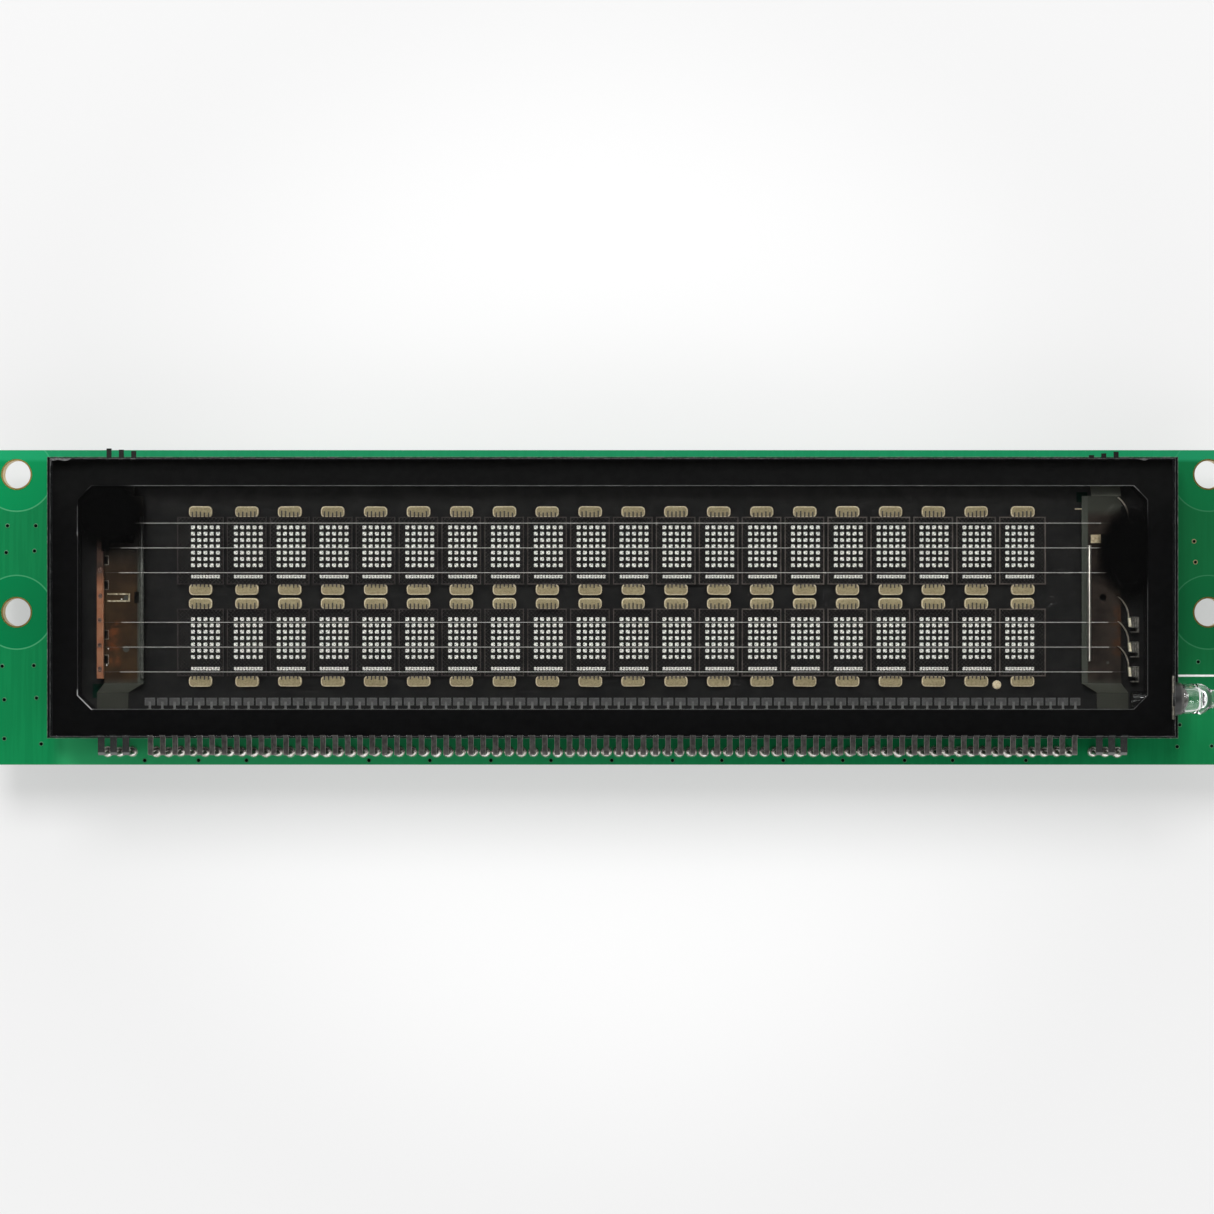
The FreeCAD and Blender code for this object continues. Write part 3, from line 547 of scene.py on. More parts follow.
# Black frit and matt black glaze, each a little paler along the tube's upper edge
frit = fading("frit", (0.0035, 0.0035, 0.0036), (0.5, 0.0, 0.0), "Y", (1.0, 7.0),
              ((0.0034, 0.0034, 0.0035), (0.0044, 0.0044, 0.0046)),
              ((0.0058, 0.0059, 0.0058), (0.0072, 0.0073, 0.0072)), 0.8)
blackGlaze = fading("blackGlaze", (0.01, 0.01, 0.01), (0.5, 0.0, 0.03), "Y", (3.0, 6.0),
                    ((0.0095, 0.0093, 0.009), (0.007, 0.007, 0.007)),
                    ((0.0165, 0.016, 0.0155), (0.012, 0.012, 0.0115)), 1.8)
emboss(blackGlaze, 0.3, 0.003)
# Black beside the pane, grey where the tube begins
collarFrit = fading("collarFrit", (0.07, 0.07, 0.065), (0.35, 0.0, 0.5), "X", (68.55, 68.8),
                    (0.012, 0.012, 0.012), ((0.085, 0.083, 0.076), (0.045, 0.043, 0.04)), 0.5)
# The weld bar goes from dark red at its upper end to bright salmon
weldBar = fading("weldBar", (0.3, 0.11, 0.05), (0.3, 0.2, 0.2), "Y", (-6.0, -2.8),
                 ((0.17, 0.066, 0.032), (0.2, 0.093, 0.05)),
                 ((0.02, 0.012, 0.008), (0.035, 0.018, 0.012)), 0.9)
silk = flecked("silk", (0.8, 0.82, 0.8), 0.6, 0.0, (0.82, 0.84, 0.82), (0.7, 0.73, 0.7), 0.3)


# Heat tint of the support plates: grey by the folds, brown where the filaments were welded; slanted faces
# painted paler, a painted highlight
plateSet = {
    "inner": 56.85, "strip": 0.8, "edge": (0.04, 0.044, 0.036), "cold": (0.03, 0.031, 0.025), "flatFrom": 9.6,
    "flatTo": 10.8, "slope": (0.085, 0.088, 0.072), "filmed": (0.006, 0.005, 0.004), "filmFrom": -5.5,
    "smudge": (0.045, 0.052, 0.046), "lowEnds": (0.17, 0.18, 0.172), "stubs": (0.05, 0.05, 0.046),
    "smudges": {"leftPlate": ((-58.94, -12.95, 0.45), (-58.88, -6.84, 0.45)),
                "rightPlate": ((60.0, -14.6, 0.2),)},
}


def plateFinish(name, side, hotX, hotLow, hotHigh, warm, warmDeep, hotColor):
    finish = newFinish(name, (0.06, 0.05, 0.04), 0.26, 0.2, {"Specular IOR Level": 0.2})
    tree = finish.node_tree
    x, y = axes(tree)[:2]
    out = product(tree, x, side)
    brown = flecks(tree, 2.6, warm, warmDeep, detail=2)
    nearX = ramp(tree, awayFrom(tree, out, hotX), 0.2, 1.1, 1.0, 0.0)
    nearY = product(tree, ramp(tree, y, hotLow - 1, hotLow), ramp(tree, y, hotHigh, hotHigh + 1.5, 1.0, 0.0))
    hot = product(tree, nearX, nearY, ramp(tree, noise(tree, 1.0, 2), 0.35, 0.65))
    brown = blend(tree, hot, brown, hotColor)
    away = awayFrom(tree, y, tubeY)
    color = blend(tree, ramp(tree, away, plateSet["flatFrom"], plateSet["flatTo"]), brown, plateSet["cold"])
    strip = plateSet["strip"]
    edge = ramp(tree, calc(tree, "SUBTRACT", out, plateSet["inner"]), strip * 0.8, strip, 1.0, 0.0)
    color = blend(tree, edge, color, plateSet["edge"])
    if side < 0:
        color = blend(tree, ramp(tree, y, plateSet["filmFrom"], 0.0), color, plateSet["filmed"])
    for px, py, radius in plateSet["smudges"].get(name, ()):
        near = distance(tree, calc(tree, "SUBTRACT", x, px), calc(tree, "SUBTRACT", y, py))
        color = blend(tree, ramp(tree, near, radius * 0.7, radius, 0.75, 0.0), color, plateSet["smudge"])
    # painted highlight: faces that slant, as at the folds, paler than the flat metal
    up = slopes(tree, "True Normal")["Z"]
    slope = product(tree, ramp(tree, up, 0.97, 0.99, 1.0, 0.0), ramp(tree, up, 0.2, 0.4))
    color = blend(tree, slope, color, plateSet["slope"])
    limits = (windowY + 0.2, windowY + 0.4)
    outside = ramp(tree, away, *limits)
    # painted shade: the ends above the window darker than those below it
    ends = blend(tree, ramp(tree, y, 0, 4), plateSet["lowEnds"], plateSet["stubs"])
    feed(finish, "Base Color", blend(tree, outside, color, ends))
    feed(finish, "Metallic", ramp(tree, away, *limits, 0.2, 0.8))
    return finish


leftPlate = plateFinish("leftPlate", -1, 60.4, -14.3, -10.4, (0.017, 0.0095, 0.0046), (0.029, 0.0165, 0.0074),
                        (0.085, 0.026, 0.008))
rightPlate = plateFinish("rightPlate", 1, 61.2, -13.2, -8.6, (0.011, 0.0085, 0.007), (0.022, 0.0165, 0.013),
                         (0.034, 0.016, 0.008))
nodeFinishes = {
    "circuit_board": boardFinish(), "foam_tape": foam, "substrate_glass": substrateGlass,
    "insulating_layer": blackGlaze, "lower_frit_seal": frit, "side_wall": blackGlass, "upper_frit_seal": frit,
    "face_glass": clearGlass, "exhaust_tube": clearGlass, "exhaust_collar": collarFrit,
    "phosphor_characters": phosphor, "cursor_bars": phosphor, "control_grids": gridMetal,
    "bond_pads": padPaste,
    "test_pad": padRim, "main_leads": leadMetal, "left_anchor_plate": leftPlate,
    "right_support_plate": rightPlate, "filament_weld_bar": weldBar, "left_spacer_rod": seatMetal,
    "right_spacer_rod": brightWire, "filaments": brightWire, "leaf_springs": springMetal,
    "weld_tabs": tabMetal,
    "spring_seats": seatMetal, "ribbon_clip": clipMetal, "getter_strips": getterFoot,
    "getter_holders": getterFoot, "header_housing": housingPlastic, "header_pins": gold,
    "driver_circuits": blackPlastic, "controller_circuit": blackPlastic, "resonator": resonatorCase,
    "capacitor_bases": housingPlastic, "capacitor_cans": canMetal, "transformer_core": ferrite,
    "transformer_winding": windingTape, "transformer_base": housingPlastic, "inductor": ferrite,
    "transistor_body": blackPlastic, "transistor_tab": tinned, "rectifier_diodes": blackPlastic,
    "chip_capacitors": chipCeramic, "chip_resistors": resistorTop,
}
for node, finish in nodeFinishes.items():
    dress(node, finish)
print("finishes made")

# Characters: dots of phosphor, with a beaded bar below each
textSet = {"columns": 20, "across": 5, "down": 7, "width": 3.49, "height": 5.03, "dotWide": 0.455,
           "dotHigh": 0.425,
           "corner": 0.09, "barWidth": 3.52, "barHeight": 0.42, "beads": 10,
           "beadCorner": 0.07, "beadGap": 0.014}


def textPlaces():
    low, high = boxOf("phosphor_characters")
    pitch = (high.x - low.x - textSet["width"]) / (textSet["columns"] - 1)
    columns = [low.x + textSet["width"] / 2 + i * pitch for i in range(textSet["columns"])]
    lines = [high.y - textSet["height"] / 2, low.y + textSet["height"] / 2]
    return columns, lines


columnXs, lineYs = textPlaces()


def makeCharacters():
    low, high = boxOf("phosphor_characters")
    w, h = textSet["dotWide"] / 2, textSet["dotHigh"] / 2
    dot = asTile(softBlock(-w, w, -h, h, low.z, high.z, textSet["corner"], steps=2))
    character = bmesh.new()
    stepX = (textSet["width"] - textSet["dotWide"]) / (textSet["across"] - 1)
    stepY = (textSet["height"] - textSet["dotHigh"]) / (textSet["down"] - 1)
    for i in range(textSet["across"]):
        for j in range(textSet["down"]):
            stamp(character, dot, (i - (textSet["across"] - 1) / 2) * stepX,
                  (j - (textSet["down"] - 1) / 2) * stepY)
    bm = strew(asTile(character), [(x, y) for y in lineYs for x in columnXs])
    addPiece("phosphor_dots", bm, [phosphor], ["phosphor_characters"])


def makeBars():
    low, high = boxOf("cursor_bars")
    half = textSet["barHeight"] / 2
    step = textSet["barWidth"] / textSet["beads"]
    w = step / 2 - textSet["beadGap"]
    h = half / 2 - textSet["beadGap"] / 2
    bead = asTile(softBlock(-w, w, -h, h, low.z, high.z, textSet["beadCorner"], steps=1))
    bar = bmesh.new()
    for i in range(textSet["beads"]):
        x = (i - (textSet["beads"] - 1) / 2) * step
        stamp(bar, bead, x, half / 2)
        stamp(bar, bead, x, -half / 2)
    bm = strew(asTile(bar), [(x, y) for y in (high.y - half, low.y + half) for x in columnXs])
    addPiece("cursor_bar_beads", bm, [phosphor], ["cursor_bars"])


# Control grids: fine mesh inside each frame, and tines that reach onto the bond pads
gridSet = {"width": 4.82, "height": 8.22, "shiftX": -0.15, "drop": 0.53, "extension": 0.83, "border": 0.14,
           "wire": 0.034, "spacing": 0.34, "tines": 5, "tinePitch": 0.49, "tineWidth": 0.17, "tineUp": 0.62,
           "tineDown": 0.34, "jitter": 0.12}
padSet = {"width": 2.84, "height": 1.34, "overlap": 0.12, "reach": 0.725, "shiftX": -0.12,
          "corner": 0.5, "rim": 0.13}


def gridEnds(column):
    left = columnXs[column] + gridSet["shiftX"] - gridSet["width"] / 2
    right = left + gridSet["width"]
    if column == 0:
        left -= gridSet["extension"]
    if column == textSet["columns"] - 1:
        right += gridSet["extension"]
    return left, right


def padShift(column):
    shift = padSet["shiftX"]
    if column == 0:
        shift -= gridSet["extension"] / 2
    if column == textSet["columns"] - 1:
        shift += gridSet["extension"] / 2
    return shift


def addSlant(bm, width, height, offset, way, z):  # one mesh wire at 45 degrees across a frame
    reach = (width + height) / 2
    if abs(offset) >= reach:
        return
    start = max(-width / 2, offset - height / 2)
    end = min(width / 2, offset + height / 2)
    middleX = (start + end) / 2
    length = (end - start) * math.sqrt(2)
    place = Matrix.LocRotScale(Vector((middleX, way * (middleX - offset), z)),
                               Matrix.Rotation(way * math.pi / 4, 3, "Z"),
                               Vector((length, gridSet["wire"], gridSet["wire"])))
    bmesh.ops.create_cube(bm, size=1, matrix=place)


def gridTile(width):
    bm = bmesh.new()
    inner = width - gridSet["border"]
    tall = gridSet["height"] - gridSet["border"]
    step = gridSet["spacing"] * math.sqrt(2)
    count = int((inner + tall) / 2 / step)
    for i in range(-count, count + 1):
        for way in (1, -1):
            addSlant(bm, inner, tall, i * step, way, gridSet["wire"] / 2 * (1 + way * 0.5))
    return asTile(bm)


def makeGridMesh():
    z = boxOf("control_grids")[0].z + 0.02
    tiles = {}
    bm = bmesh.new()
    for column in range(textSet["columns"]):
        left, right = gridEnds(column)
        width = round(right - left, 4)
        if width not in tiles:
            tiles[width] = gridTile(width)
        for y in lineYs:
            stamp(bm, tiles[width], (left + right) / 2, y - gridSet["drop"], z)
    addPiece("grid_mesh", bm, [meshWire], smooth=0)


def makeTines():
    low, high = boxOf("control_grids")
    half = gridSet["tineWidth"] / 2
    bm = bmesh.new()
    for y in lineYs:
        for column, x in enumerate(columnXs):
            for i in range(gridSet["tines"]):
                tineX = x + padShift(column) + (i - (gridSet["tines"] - 1) / 2) * gridSet["tinePitch"]
                for side, reach in ((1, gridSet["tineUp"]), (-1, gridSet["tineDown"])):
                    edge = y - gridSet["drop"] + side * gridSet["height"] / 2
                    reach += chance.uniform(-1, 1) * gridSet["jitter"]
                    ends = sorted((edge, edge + side * reach))
                    addBlock(bm, tineX - half, tineX + half, *ends, low.z, high.z)
    addPiece("grid_tines", bm, [tineMetal], smooth=0)


def makeBondPads():
    low, high = boxOf("bond_pads")
    w, h = padSet["width"] / 2, padSet["height"] / 2
    pad = asTile(softBlock(-w, w, -h, h, low.z, high.z, padSet["corner"], padSet["rim"], 5, 3, rimFinish=1))
    reach = gridSet["height"] / 2 - padSet["overlap"] + padSet["reach"]
    bm = bmesh.new()
    for y in lineYs:
        for column, x in enumerate(columnXs):
            for side in (1, -1):
                size = (chance.uniform(0.985, 1.015), chance.uniform(0.97, 1.03), 1)
                stamp(bm, pad, x + padShift(column) + chance.uniform(-0.02, 0.02),
                      y - gridSet["drop"] + side * reach,
                      size=size, turn=chance.uniform(-0.015, 0.015))
    addPiece("bond_pad_paste", bm, [padPaste, padRim], ["bond_pads"])


def makeTestPad():
    low, high = boxOf("test_pad")
    centre = (low + high) / 2
    r = (high.x - low.x) / 2
    points = [(0, 0, high.z), (r * 0.6, 0, high.z), (r * 0.9, 0, high.z - 0.06), (r, 0, high.z - 0.15),
              (r, 0, low.z), (0, 0, low.z)]
    bm = turned(points, 20)
    bmesh.ops.translate(bm, vec=(centre.x, centre.y, 0), verts=bm.verts)
    addPiece("test_pad_paste", bm, [padRim], ["test_pad"])


makeCharacters()
makeBars()
makeGridMesh()
makeTines()
makeBondPads()
makeTestPad()
print("characters and grids made")

# Leads, with round bends, their contact pads inside the window and their solder joints
leadSet = {"count": 76, "pitch": 1.5, "width": 0.65, "thickness": 0.2, "inside": 0.05, "edge": 0.035,
           "endCount": 3, "endSkip": 2}
contactSet = {"width": 1.24, "height": 0.93, "drop": 12.65, "thickness": 0.03, "stem": 0.27, "rim": 0.12}
jointSet = {"radius": 0.71, "length": 0.7, "shift": 0.12, "steps": 18}


def leadPlaces():
    last = (leadSet["count"] - 1) / 2 * leadSet["pitch"]
    main = [-last + i * leadSet["pitch"] for i in range(leadSet["count"])]
    ends = [last + (leadSet["endSkip"] + i) * leadSet["pitch"] for i in range(leadSet["endCount"])]
    return main, [-x for x in ends] + ends


mainXs, endXs = leadPlaces()
legY = boxOf("main_leads")[0].y + leadSet["thickness"] / 2


def arc(cy, cz, radius, start, end, steps):
    angles = [start + (end - start) * i / steps for i in range(steps + 1)]
    return [(cy + radius * math.cos(a), cz + radius * math.sin(a)) for a in angles]


def leadTile():
    low, high = boxOf("main_leads")
    t, inside = leadSet["thickness"], leadSet["inside"]
    outside = inside + t
    inner, outer = legY + t / 2, legY - t / 2
    top = high.z
    outline = [(high.y, top)]
    outline += arc(outer + outside, top - outside, outside, math.pi / 2, math.pi, 5)
    outline += [(outer, low.z), (inner, low.z)]
    outline += arc(inner + inside, top - t - inside, inside, math.pi, math.pi / 2, 4)
    outline += [(high.y, top - t)]
    half = leadSet["width"] / 2
    bm = slab([(-half, y, z) for y, z in outline], (2 * half, 0, 0))
    rim = [e for e in bm.edges if abs(e.verts[0].co.x - e.verts[1].co.x) < 1e-4]
    # the bevels take the painted highlight finish
    bevelEdges(bm, rim, leadSet["edge"], 1, 1)
    return asTile(bm)


def jointTile():  # dome of solder round a leg, on its pad
    r = jointSet["radius"]
    points = [(0.1, 0, 0.62), (0.18, 0, 0.5), (0.3, 0, 0.38), (0.47, 0, 0.33), (0.58, 0, 0.24),
              (0.64, 0, 0.12), (r, 0, 0)]
    return asTile(turned(points, jointSet["steps"]))


def makeLeads():
    bm = strew(leadTile(), [(x, 0) for x in mainXs])
    addPiece("lead_strips", bm, [leadMetal, leadEdgeHighlight], ["main_leads"])


def makeJoints():
    front = jointTile()
    size = (1, jointSet["length"] / jointSet["radius"], 1)
    bm = bmesh.new()
    for x in mainXs + endXs:
        wobble = (chance.uniform(0.95, 1.03), chance.uniform(0.95, 1.05), chance.uniform(0.85, 1.15))
        scale = tuple(a * b for a, b in zip(size, wobble))
        stamp(bm, front, x, legY + jointSet["shift"] + chance.uniform(-0.05, 0.05), zBoard, size=scale)
        stamp(bm, front, x, legY + chance.uniform(-0.04, 0.04), 0, turn=math.pi, axis="X", size=scale)
    addPiece("solder_joints", bm, [solder], smooth=50)


def makeContacts():
    t = contactSet["thickness"]
    w, h, rim = contactSet["width"] / 2, contactSet["height"] / 2, contactSet["rim"]
    y = tubeY - contactSet["drop"]
    half = contactSet["stem"] / 2
    paste = bmesh.new()
    addBlock(paste, -w, w, -h, h, 0, t)
    addBlock(paste, -w + rim, w - rim, -h + rim, h - rim, t * 0.5, t * 1.3)
    addBlock(paste, -half, half, tubeY - windowY - y, 0, t, 2 * t)
    for index, face in enumerate(paste.faces):
        face.material_index = index // 6
    pad = asTile(paste)
    bm = bmesh.new()
    for x in mainXs:
        stamp(bm, pad, x, y, zLeads)
    rimPaste = flecked("contactRim", (0.06, 0.06, 0.058), 0.5, 0.0, (0.04, 0.04, 0.038),
                       (0.018, 0.018, 0.0175), 0.3)
    middle = flecked("contactPaste", (0.02, 0.02, 0.02), 0.6, 0.0, (0.026, 0.026, 0.025),
                     (0.016, 0.016, 0.0155), 0.3)
    stem = flecked("contactStem", (0.09, 0.09, 0.086), 0.5, 0.0, (0.08, 0.08, 0.076),
                   (0.045, 0.045, 0.043), 0.4)
    addPiece("contact_pads", bm, [rimPaste, middle, stem], smooth=0)


makeLeads()
makeJoints()
makeContacts()
print("leads made")

# Filaments: bare fine wire, thickened by its pale coating over the characters
filamentSet = {"coat": 0.026, "bare": 0.015, "sides": 8,
               "starts": (-57.8, -59.5, -59.75, -59.45, -59.25, -59.6),
               "ends": (59.1, 59.1, 59.7, 60.0, 60.1, 60.5)}


def filamentRows():
    low, high = boxOf("filaments")
    pitch = (high.y - low.y - (high.z - low.z)) / 6
    return [tubeY + n * pitch for n in (3, 2, 1, -1, -2, -3)]


def makeFilaments():
    low, high = boxOf("filaments")
    z = (low.z + high.z) / 2
    bm = bmesh.new()
    for y, start, end in zip(filamentRows(), filamentSet["starts"], filamentSet["ends"]):
        coat, bare = filamentSet["coat"], filamentSet["bare"]
        points = [(low.x, y, z), (low.x, y + bare, z), (start, y + bare, z), (start + 0.15, y + coat, z),
                  (end - 0.15, y + coat, z), (end, y + bare, z), (high.x, y + bare, z), (high.x, y, z)]
        wire = lathe(points, (0, y, z), (1, 0, 0), filamentSet["sides"])
        for face in wire.faces:
            middle = face.calc_center_median().x
            face.material_index = 0 if start < middle < end else 1
        stamp(bm, asTile(wire))
    coating = flecked("oxideCoat", (0.42, 0.41, 0.38), 0.8, 0.0, (0.52, 0.51, 0.48), (0.42, 0.41, 0.385), 0.5)
    tungsten = flecked("bareWire", (0.05, 0.05, 0.048), 0.4, 0.6, (0.06, 0.06, 0.058),
                       (0.03, 0.03, 0.029), 0.5)
    addPiece("filament_wires", bm, [coating, tungsten], ["filaments"], smooth=60)


def makeRods():  # the two round rods that set the filaments' height
    for side in ("left", "right"):
        low, high = boxOf(side + "_spacer_rod")
        x, z = (low.x + high.x) / 2, (low.z + high.z) / 2
        r = (high.z - low.z) / 2
        points = [(x, low.y, z), (x + r * 0.8, low.y, z), (x + r, low.y + r * 0.2, z),
                  (x + r, high.y - r * 0.2, z), (x + r * 0.8, high.y, z), (x, high.y, z)]
        bm = lathe(points, (x, 0, z), (0, 1, 0), 24)
        finish = rodMetal if side == "right" else shadedRod
        addPiece(side + "_rod", bm, [finish], [side + "_spacer_rod"], smooth=50)


# Spots of melted metal on the weld bar and the plates
weldSet = {"bar": (-3.37, -6.52, -9.43, -12.46, -15.37), "barX": -62.0,
           "plate": ((-59.49, -6.9, 0.09), (-61.1, -12.9, 0.08), (-61.3, -14.9, 0.08))}


def makeWelds():
    barTop = boxOf("filament_weld_bar")[1].z
    plateTop = boxOf("filament_weld_bar")[0].z
    ring = turned([(0, 0, 0.01), (0.09, 0, 0.01), (0.17, 0, 0.06), (0.26, 0, 0.05), (0.29, 0, -0.02)], 16)
    for face in ring.faces:
        face.material_index = 1 if face.calc_center_median().xy.length < 0.1 else 0
    tile = asTile(ring)
    spot = bmesh.new()
    bmesh.ops.create_icosphere(spot, subdivisions=2, radius=1)
    for face in spot.faces:
        face.material_index = 2
    dot = asTile(spot)
    bm = bmesh.new()
    for y in weldSet["bar"]:
        stamp(bm, tile, weldSet["barX"] + chance.uniform(-0.1, 0.05), y, barTop,
              size=(0.9, chance.uniform(1.0, 1.3), 1))
    for x, y, radius in weldSet["plate"]:
        stamp(bm, dot, x, y, plateTop, size=(radius, radius, radius * 0.5))
    ringMetal = flecked("weldRing", (0.07, 0.03, 0.018), 0.35, 0.3, (0.09, 0.04, 0.024),
                        (0.03, 0.014, 0.01), 0.15)
    pit = flecked("weldPit", (0.03, 0.02, 0.016), 0.4, 0.5, (0.05, 0.03, 0.022), (0.015, 0.01, 0.008), 0.1)
    bead = flecked("weldBead", (0.7, 0.7, 0.68), 0.3, 0.5, (0.75, 0.75, 0.73), (0.5, 0.5, 0.48), 0.1)
    addPiece("weld_spots", bm, [ringMetal, pit, bead], smooth=60)


def makeTabs():  # the springs' ends, each folded over at a slant
    low, high = boxOf("weld_tabs")
    half = (high.y - low.y - (filamentRows()[0] - filamentRows()[-1])) / 2
    bm = bmesh.new()
    for y in filamentRows():
        verts = addBlock(bm, low.x, high.x - 0.1, y - half, y + half, low.z, high.z)
        for vert in verts:
            vert.co.x += (y - vert.co.y) / half * 0.05 + 0.05
            if vert.co.z > high.z - 0.01 and vert.co.x > (low.x + high.x) / 2:
                vert.co.z -= 0.12
        for face in {f for v in verts for f in v.link_faces}:
            face.material_index = 1 if face.calc_center_median().x > high.x - 0.12 else 0
    flank = flecked("tabFlank", (0.3, 0.2, 0.08), 0.35, 0.5, (0.34, 0.24, 0.1), (0.18, 0.12, 0.05), 0.2)
    addPiece("tab_folds", bm, [tabMetal, flank], ["weld_tabs"], smooth=0)


# Ribs on the spring seats, as stamped
seatSet = {"ribs": 3, "rise": 0.05, "ribWidth": 0.09, "ribPitch": 0.3, "ribHalf": 0.5, "hook": 0.13,
           "hookLength": 0.62, "foot": 1.25, "footHalf": 0.35, "past": 0.1, "tall": 1.3}


def makeSeatRibs():
    low, high = boxOf("spring_seats")
    bm = bmesh.new()
    middle = (low.x + high.x) / 2
    top = high.z + seatSet["rise"]
    wide, half, past = seatSet["ribWidth"] / 2, seatSet["ribHalf"], seatSet["past"]
    hookTop = zLeads + seatSet["tall"]
    for y in filamentRows():
        for i in range(seatSet["ribs"]):
            x = middle + (i - (seatSet["ribs"] - 1) / 2) * seatSet["ribPitch"]
            addBlock(bm, x - wide, x + wide, y - half, y + half, high.z, top)
        foot = y - seatSet["foot"]
        bend = foot + seatSet["hook"]
        addBlock(bm, middle - seatSet["footHalf"], high.x + past, foot, bend, zLeads, hookTop)
        addBlock(bm, high.x - past, high.x + past, bend, foot + seatSet["hookLength"], zLeads, hookTop)
    rib = flecked("seatRib", (0.12, 0.115, 0.1), 0.35, 0.6, (0.17, 0.16, 0.14), (0.05, 0.048, 0.042), 0.2)
    addPiece("seat_ribs", bm, [rib], smooth=0)


makeFilaments()
makeRods()
makeWelds()
makeTabs()
makeSeatRibs()
print("filaments made")

# Face glass, its cut edges ground and chipped
faceSet = {"chamfer": 0.045, "cuts": 260, "cutsShort": 90, "chip": 0.05, "deepChip": 0.28}
rimSet = {"chamfer": 0.045, "cuts": 260, "cutsShort": 90, "chip": 0.05, "deepChip": 0.07}


def cutPane(low, high, values, deep=()):  # a pane whose cut upper edge is ground, with chips bitten out of it
    bm = bmesh.new()
    addBlock(bm, low.x, high.x, low.y, high.y, low.z, high.z)
    bevelEdges(bm, levelEdges(bm, high.z), values["chamfer"], 1, 1)
    long = [e for e in bm.edges if abs(e.verts[0].co.x - e.verts[1].co.x) > 0.9 * e.calc_length()
            and e.calc_length() > 1]
    bmesh.ops.subdivide_edges(bm, edges=long, cuts=values["cuts"], use_grid_fill=False)
    short = [e for e in bm.edges if abs(e.verts[0].co.y - e.verts[1].co.y) > 0.9 * e.calc_length()
             and e.calc_length() > 20 and any(f.material_index == 1 for f in e.link_faces)]
    bmesh.ops.subdivide_edges(bm, edges=short, cuts=values["cutsShort"], use_grid_fill=False)
    for face in bm.faces:
        if abs(face.normal.z) < 0.5 and face.material_index == 0:
            face.material_index = 2
    middle = (low + high) / 2
    for vert in bm.verts:
        if vert.co.z < high.z - 1e-3:
            continue
        inward = Vector((0, 0, 0))
        if abs(vert.co.y - middle.y) > high.y - middle.y - 0.3:
            inward.y = -math.copysign(1, vert.co.y - middle.y)
        if abs(vert.co.x - middle.x) > high.x - middle.x - 0.3:
            inward.x = -math.copysign(1, vert.co.x - middle.x)
        size = values["chip"] * chance.random() ** 3
        if any(x0 < vert.co.x < x1 and y0 < vert.co.y < y1 for x0, x1, y0, y1 in deep):
            size = values["deepChip"] * (0.3 + 0.7 * chance.random())
        vert.co += inward * size
    return bm


def makeFaceGlass():
    low = faceLow.copy()
    low.z -= 0.01
    chips = ((faceLow.x - 1, -65.2, faceHigh.y - 1, faceHigh.y + 1),
             (63.0, 64.3, faceHigh.y - 1, faceHigh.y + 1))
    bm = cutPane(low, faceHigh, faceSet, chips)
    addPiece("face_pane", bm, [clearGlass, groundGlass, edgeGlass], ["face_glass"], smooth=0)


def makeSubstrate():
    chips = ((glassLow.x - 1, glassLow.x + 1, -15.5, -11.0),)
    bm = cutPane(glassLow, glassHigh, rimSet, chips)
    addPiece("substrate_pane", bm, [substrateGlass, cutGlass, edgeGlass],
             ["substrate_glass"], smooth=0)
    margin = bmesh.new()
    inset = 0.09
    z0, z1 = glassHigh.z, glassHigh.z + 0.02
    x0, x1 = glassLow.x + inset, glassHigh.x - inset
    y0, y1 = glassLow.y + inset, glassHigh.y - inset
    for box in ((x0, x1, wallHigh.y - 0.02, y1), (x0, x1, y0, wallLow.y + 0.02),
                (x0, wallLow.x + 0.02, wallLow.y + 0.02, wallHigh.y - 0.02),
                (wallHigh.x - 0.02, x1, wallLow.y + 0.02, wallHigh.y - 0.02)):
        addBlock(margin, *box, z0, z1)
    addPiece("glaze_margin", margin, [marginGlaze], smooth=0)


# Rounded bead of frit along the window's inner edge, seen as a thin pale line, which is a painted highlight
beadSet = {"side": 2.9, "end": 3.05, "cut": 1.7, "width": 0.08, "drop": 0.16}


def windowOutline(inset=0.0):
    x = wallHigh.x - beadSet["side"] - inset
    y0 = wallLow.y + beadSet["end"] + inset
    y1 = wallHigh.y - beadSet["end"] - inset
    c = beadSet["cut"] - inset * 0.41
    return [(-x + c, y0), (x - c, y0), (x, y0 + c), (x, y1 - c), (x - c, y1), (-x + c, y1),
            (-x, y1 - c), (-x, y0 + c)]


def beadHighlightFinish():
    finish = newFinish("sealBeadHighlight", (0.05, 0.05, 0.05), 0.4, sockets={"Specular IOR Level": 0.2})
    tree = finish.node_tree
    x, y = axes(tree)[:2]
    spread = ramp(tree, noise(tree, 1.2, 3), 0.3, 0.7, 0.7, 1.2)
    # painted highlight, stronger at the top, the left and the lower left corner than at the bottom and the
    # right
    top = ramp(tree, y, tubeY + 12.6, tubeY + 13.0, 0.0, 0.075)
    bottom = ramp(tree, y, tubeY - 13.2, tubeY - 12.9, 0.045, 0.0)
    right = ramp(tree, x, 63.6, 64.0, 0.0, 0.014)
    left = product(tree, ramp(tree, x, -63.9, -63.6, 0.2, 0.0),
                   product(tree, ramp(tree, y, 0.6, 0.9), ramp(tree, y, 4.2, 4.5, 1.0, 0.0)))
    corner = product(tree, ramp(tree, x, -62.9, -62.5, 0.35, 0.0), ramp(tree, y, -18.0, -17.6, 1.0, 0.0))
    total = 0.005
    for part in (top, bottom, right, left, corner):
        total = calc(tree, "ADD", part, total)
    total = product(tree, total, spread)
    combine = tree.nodes.new("ShaderNodeCombineColor")
    for socket in combine.inputs[:3]:
        tree.links.new(total, socket)
    feed(finish, "Base Color", combine.outputs[0])
    return finish


